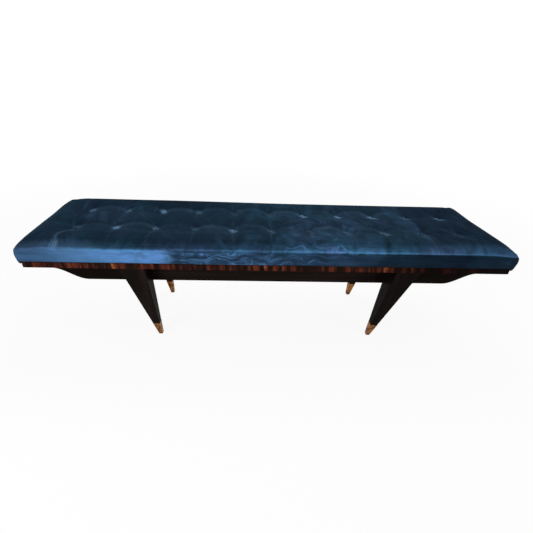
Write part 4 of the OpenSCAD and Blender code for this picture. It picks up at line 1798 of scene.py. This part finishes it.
@dataclass
class Legs:
    """Four wedge-shaped legs that stand on brass shoes and nylon glides."""

    top_z: float = highest("leg_back_right")[2]
    shoe_z: float = highest("shoe_back_right")[2]
    face_y: float = highest("apron_back")[1]
    top_in: float = highest("leg_back_right")[0] - 0.091
    top_w: float = 0.091
    top_d: float = highest("leg_back_right")[1] - highest("apron_back")[1]
    foot_in: float = highest("leg_back_right")[0] - 0.114
    foot_w: float = 0.015
    foot_d: float = 0.018
    arris: float = 0.002
    arris_steps: int = 4
    proud: float = 0.0006
    shoe_foot_z: float = 0.001
    shoe_wall: float = 0.0016
    shoe_cup: float = 0.006
    shoe_foot_r: float = 0.0012
    shoe_rim_r: float = 0.00025
    tenon: float = 0.004
    glide_r: float = 0.006
    glide_h: float = 0.0025
    glide_arris: float = 0.0005
    glide_sides: int = 28

    def section(self, z: float, grow: float = 0) -> tuple[Point, Point]:
        """Two opposite corners of the leg's section at a height.

        Args:
            z: Height.
            grow: How far it stands proud all round.

        Returns:
            The near and the far corner.
        """
        t = z / self.top_z
        inner = self.foot_in + (self.top_in - self.foot_in) * t
        wide = self.foot_w + (self.top_w - self.foot_w) * t
        deep = self.foot_d + (self.top_d - self.foot_d) * t
        near = (inner - grow, self.face_y - grow, z)
        return near, (inner + wide + grow, self.face_y + deep + grow, z)

    def wedge(self, name: str, low_z: float, high_z: float, grow: float = 0) -> Blank:
        """A block with the leg's taper between two heights.

        Args:
            name: Name of the piece.
            low_z: Height of its lower end.
            high_z: Height of its upper end.
            grow: How far it stands proud of the leg all round.

        Returns:
            The blank.
        """
        top_low, top_high = self.section(high_z, grow)
        foot_low, foot_high = self.section(low_z, grow)
        made = Blank.box(name, (top_low[0], top_low[1], low_z), top_high)
        ratio = [(foot_high[i] - foot_low[i]) / (top_high[i] - top_low[i]) for i in (0, 1)]
        with made.editing():
            made.pick(Pick.FACES, lambda c, n: n.z < -SQUARE_ON)
            made.stretch((*ratio, 1), (top_low[0], top_low[1], low_z))
            made.shift((foot_low[0] - top_low[0], foot_low[1] - top_low[1], 0))
        return made

    def round_arrises(self, blank: Blank, radius: float) -> None:
        """Rounds the four long edges of a leg or shoe."""
        with blank.editing():
            blank.bevel(radius, self.arris_steps, lambda c, way: abs(way.z) > 0.7)

    def shoe(self) -> Blank:
        """Shapes a brass cup: a tapered block, hollowed from above and rounded at its foot.

        Returns:
            The blank.
        """
        made = self.wedge("shoe", self.shoe_foot_z, self.shoe_z, self.proud)
        self.round_arrises(made, self.arris + self.proud)
        with made.editing():
            made.pick(Pick.FACES, lambda c, n: n.z > SQUARE_ON)
            bpy.ops.mesh.inset(thickness=self.shoe_wall)
            made.draw_out(-self.shoe_cup)
            made.bevel(self.shoe_foot_r, 3, lambda c, way: c.z < self.shoe_foot_z + CLOSE)
            made.bevel(self.shoe_rim_r, 2, lambda c, way: c.z > self.shoe_z - CLOSE)
        return made

    def build(self) -> None:
        """Models one leg, shoe and glide and reflects them to each corner."""
        leg = self.wedge("leg", self.shoe_z - self.tenon, self.top_z)
        self.round_arrises(leg, self.arris)
        shoe = self.shoe()
        middle = self.foot_in + self.foot_w / 2, self.face_y + self.foot_d / 2
        glide = Blank.drum("glide", (*middle, 0), self.glide_r, self.glide_h, self.glide_sides)
        glide.soften(self.glide_arris)
        kinds = (
            ("leg", leg, LEG_WOOD, "dark_lacquer"),
            ("shoe", shoe, BRASS, "brass"),
            ("glide", glide, NYLON, "glide"),
        )
        for corner in Corner:
            where = corner.name.lower()
            for kind, blank, finish, slot in kinds:
                made = blank.twin(f"{kind}_{where}_shaped", (*corner.value, 1))
                made.dress(finish, slot, f"{kind}_{where}")
        for blank in (leg, shoe, glide):
            blank.throw_away()


@dataclass
class Fixings:
    """Leg bolts with their washers, and the screws seen from below."""

    bolt_z: tuple[float, float] = (0.338, 0.296)
    back_y: float = lowest("apron_back")[1]
    washer_t: float = 0.002
    washer_r: float = 0.012
    washer_arris: float = 0.0003
    washer_sides: int = 36
    hole_gap: float = 0.0001
    bolt_r: float = 0.004
    bolt_l: float = 0.044
    bolt_tip: float = 0.0006
    bolt_sides: int = 20
    head_r: float = 0.0075
    head_h: float = 0.0053
    head_sides: int = 6
    face_steps: tuple[tuple[float, float], ...] = ((0.0011, -0.0004), (0.0004, 0.0003))
    screw_y: float = 0.173
    screw_pitch: float = 0.375
    screw_columns: int = 5
    screw_z: float = lowest("seat_screws")[2]
    screw_r: float = 0.00225
    screw_l: float = 0.028
    screw_head_r: float = 0.0045
    screw_sides: int = 32
    cross_rim: float = 0.0019
    cross_reach: float = 0.0030
    cross_spread: float = 0.45
    cross_middle: float = 0.0004
    cross_waist: float = 0.30
    cross_depth: float = 0.0012

    def leg_middle(self, z: float) -> float:
        """X of the middle of a leg at a height."""
        low, high = Legs().section(z)
        return (low[0] + high[0]) / 2

    def bolt(self, x: float, z: float) -> Blank:
        """A hexagon bolt that points to the back, with a turned face on its head.

        Args:
            x: X of its axis.
            z: Z of its axis.

        Returns:
            The blank.
        """
        y = self.back_y - self.washer_t
        head = Blank.drum("bolt", (x, y, z), self.head_r, self.head_h, self.head_sides, (90, 0, 0))
        with head.editing():
            head.pick(Pick.FACES, lambda c, n: n.y < -SQUARE_ON)
            for inset, rise in self.face_steps:
                bpy.ops.mesh.inset(thickness=inset)
                head.shift((0, rise, 0))
        shank = Blank.drum("shank", (x, y, z), self.bolt_r, self.bolt_l, self.bolt_sides, (-90, 0, 0))
        shank.soften(self.bolt_tip, 1)
        return head.take_in(shank)

    def washer(self, x: float, z: float) -> Blank:
        """A washer with a hole for the bolt.

        Args:
            x: X of its axis.
            z: Z of its axis.

        Returns:
            The blank.
        """
        foot = (x, self.back_y - self.washer_t, z)
        made = Blank.drum("washer", foot, self.washer_r, self.washer_t, self.washer_sides, (-90, 0, 0))
        rim = self.washer_r - self.washer_arris

        def on_rim(c: Vector, way: Vector) -> bool:
            """Whether an edge runs round the outside."""
            return math.hypot(c.x - x, c.z - z) > rim and abs(way.y) < 0.1

        with made.editing():
            made.pick(Pick.FACES, lambda c, n: abs(n.y) > SQUARE_ON)
            bpy.ops.mesh.inset(thickness=self.washer_r - self.bolt_r - self.hole_gap)
            bpy.ops.mesh.bridge_edge_loops()
            made.bevel(self.washer_arris, 2, on_rim)
        return made

    def screw(self, x: float, y: float) -> Blank:
        """A countersunk screw that points up, with a cross cut in its head.

        Args:
            x: X of its axis.
            y: Y of its axis.

        Returns:
            The blank.
        """
        foot = (x, y, self.screw_z)
        taper = self.screw_head_r - self.screw_r
        made = Blank.drum("screw", foot, self.screw_head_r, taper, self.screw_sides)
        ratio = self.screw_r / self.screw_head_r

        def from_axis(c: Vector) -> float:
            """How far a point is from the screw's axis."""
            return math.hypot(c.x - x, c.y - y)

        def between_arms(c: Vector, n: Vector) -> bool:
            """Whether a corner of the inner face lies between two arms of the cross."""
            turn = math.atan2(c.y - y, c.x - x)
            inner = c.z < self.screw_z + 1e-5 and from_axis(c) < self.cross_reach
            return inner and abs(math.sin(2 * turn)) > self.cross_spread

        with made.editing():
            made.pick(Pick.FACES, lambda c, n: n.z > SQUARE_ON)
            made.stretch((ratio, ratio, 1), foot)
            made.draw_out(self.screw_l - taper)
            made.pick(Pick.FACES, lambda c, n: n.z < -SQUARE_ON)
            bpy.ops.mesh.inset(thickness=self.cross_rim)
            made.pick(Pick.CORNERS, between_arms)
            made.stretch((self.cross_waist, self.cross_waist, 1), foot)
            made.pick(Pick.FACES, lambda c, n: n.z < -SQUARE_ON and from_axis(c) < self.cross_middle)
            made.draw_out(self.cross_depth)
        return made

    def build_round_bolts(self, kind: str, node: str, make: Callable[[float, float], Blank]) -> None:
        """Makes the bolts or the washers of one leg and reflects them to the others.

        Args:
            kind: Name of the piece.
            node: The CAD node that it replaces.
            make: Makes one from X and Z of its axis.
        """
        first = [make(self.leg_middle(z), z) for z in self.bolt_z]
        group = first[0].take_in(*first[1:])
        corners = [corner for corner in Corner if corner is not Corner.BACK_RIGHT]
        others = [group.twin(f"{kind}_{corner.name.lower()}", (*corner.value, 1)) for corner in corners]
        whole = group.take_in(*others)
        whole.obj.name = kind
        whole.dress(STEEL, "steel", node)

    def build_screws(self) -> None:
        """Makes one seat screw and copies it along both sides."""
        screw = self.screw(0, self.screw_y)
        screws = []
        for i in range(self.screw_columns):
            x = (i - self.screw_columns // 2) * self.screw_pitch
            for side in (-1, 1):
                screws.append(screw.twin(f"screw_{i}_{side}", (1, side, 1), (x, 0, 0)))
        screw.throw_away()
        whole = screws[0].take_in(*screws[1:])
        whole.obj.name = "seat_screws_turned"
        whole.dress(STEEL, "steel", "seat_screws", angle=35)

    def build(self) -> None:
        """Makes the bolts, the washers and the seat screws."""
        self.build_round_bolts("leg_bolts_turned", "leg_bolts", self.bolt)
        self.build_round_bolts("bolt_washers_turned", "bolt_washers", self.washer)
        self.build_screws()


@dataclass
class Carcass:
    """The parts that keep their CAD shape and only get a finish."""

    frame_ends: tuple[str, ...] = ("frame_left_rail", "frame_right_rail")
    frame_slats: tuple[str, ...] = ("frame_slat_1", "frame_slat_2", "frame_slat_3", "frame_slat_4")
    cross_rails: tuple[str, ...] = ("cross_rail_left", "cross_rail_middle", "cross_rail_right")

    def build(self) -> None:
        """Gives each node its finish."""
        finishes = (
            (FOAM, ("foam_topper", "foam_base")),
            (PLYWOOD, ("seat_board",)),
            (TWINE, ("tuft_twines",)),
            (STEEL, ("twine_anchors", "apron_screws")),
            (BRASS, ("threaded_inserts",)),
            (BEECH, ("leg_dowels", "apron_pegs")),
            (HARDWOOD_X, ("frame_front_rail", "frame_back_rail", "glue_blocks")),
            (HARDWOOD_Y, (*self.frame_ends, *self.frame_slats, *self.cross_rails)),
        )
        for finish, names in finishes:
            for name in names:
                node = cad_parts[name]
                node.data.materials.clear()
                node.data.materials.append(finish.material())
                log.info("%-18s dressed in %s", name, finish.name)


@dataclass(frozen=True)
class Lamp:
    """A soft rectangular lamp: its place, the point it faces, its size and its power in watts."""

    name: str
    at: Point
    aim: Point
    size: tuple[float, float]
    power: float
    colour: Colour = (1, 1, 1)

    def hang(self) -> None:
        """Hangs the lamp."""
        data = bpy.data.lights.new(self.name, "AREA")
        data.shape = "RECTANGLE"
        data.size, data.size_y = self.size
        data.energy = self.power
        data.color = self.colour
        lamp = bpy.data.objects.new(self.name, data)
        lamp.location = self.at
        lamp.rotation_euler = (Vector(self.aim) - Vector(self.at)).to_track_quat("-Z", "Y").to_euler()
        bpy.context.scene.collection.objects.link(lamp)


@dataclass
class Studio:
    """A pale floor, a white surround, soft lamps and the camera."""

    eye: Point = (-0.14404, -1.33192, 1.00685)
    tilt: Point = (59.40836, -1.93917, -1.66349)
    sensor: float = 36
    lens: float = 23.2933
    shift: tuple[float, float] = (0.03399, 0.01009)
    reach: tuple[float, float] = (0.05, 200)
    surround: float = 0.40
    floor_size: float = 60
    floor_grey: Colour = (0.82, 0.82, 0.82)
    floor_white: tuple[float, float] = (1.2, 3.2)
    floor_share: float = 0.91
    lamps: tuple[Lamp, ...] = (
        Lamp("window", (-1.9, -2.3, 1.15), (-0.3, -0.1, 0.40), (1.6, 1.1), 58, (0.97, 0.98, 1.0)),
        Lamp("ceiling", (0.3, 0.9, 2.4), (0, 0, 0.4), (2.4, 1.4), 34),
        Lamp("fill", (2.2, -1.4, 1.3), (0.3, 0, 0.35), (1.2, 1.2), 14),
    )

    def build_surround(self) -> None:
        """White to the eye, and a plain soft grey as light."""
        world = bpy.data.worlds.new("surround")
        bpy.context.scene.world = world
        world.use_nodes = True
        wiring = Wiring(world.node_tree)
        light = world.node_tree.nodes["Background"]
        light.inputs["Color"].default_value = WHITE
        light.inputs["Strength"].default_value = self.surround
        white = wiring.node("Background", {"Color": WHITE, "Strength": 1.0})
        wiring.show(wiring.seen_white(), light, white, "World Output")

    def build_floor(self) -> None:
        """A pale floor that keeps the bench's shadow and turns white far out."""
        bpy.ops.mesh.primitive_plane_add(size=self.floor_size, location=(0, 0, 0))
        floor = bpy.context.active_object
        floor.name = "floor"
        recipe = Recipe("floor")
        recipe.wire(Base_Color=(*self.floor_grey, 1), Roughness=0.9, Specular_IOR_Level=0.0)
        white = recipe.node("Emission", {"Color": WHITE, "Strength": 1.0})
        far = recipe.node("VectorMath", {0: recipe.place()}, operation="LENGTH").outputs["Value"]
        whiter = recipe.spread(far, *self.floor_white, self.floor_share, 1.0)
        share = recipe.times(whiter, recipe.seen_white())
        recipe.show(share, recipe.shader, white, "Material Output")
        floor.data.materials.append(recipe.material)

    def build_camera(self) -> None:
        """The photograph's camera, with no depth of field."""
        data = bpy.data.cameras.new("camera")
        data.sensor_width = self.sensor
        data.lens = self.lens
        data.shift_x, data.shift_y = self.shift
        data.clip_start, data.clip_end = self.reach
        camera = bpy.data.objects.new("camera", data)
        camera.location = self.eye
        camera.rotation_euler = [math.radians(a) for a in self.tilt]
        bpy.context.scene.collection.objects.link(camera)
        bpy.context.scene.camera = camera

    def build(self) -> None:
        """Sets the studio up."""
        bpy.context.scene.view_settings.view_transform = "Standard"
        self.build_camera()
        self.build_surround()
        self.build_floor()
        for lamp in self.lamps:
            lamp.hang()


def main() -> None:
    """Builds the bench, part by part, in its studio."""
    logging.basicConfig(level=logging.INFO, format="%(name)s: %(message)s")
    bpy.ops.object.select_all(action="DESELECT")
    for part in (Studio(), Carcass(), Cushion(), SeatEdge(), Aprons(), Legs(), Fixings()):
        log.info("building %s", type(part).__name__)
        part.build()
    bpy.ops.object.select_all(action="DESELECT")


if __name__ == "__main__":
    main()
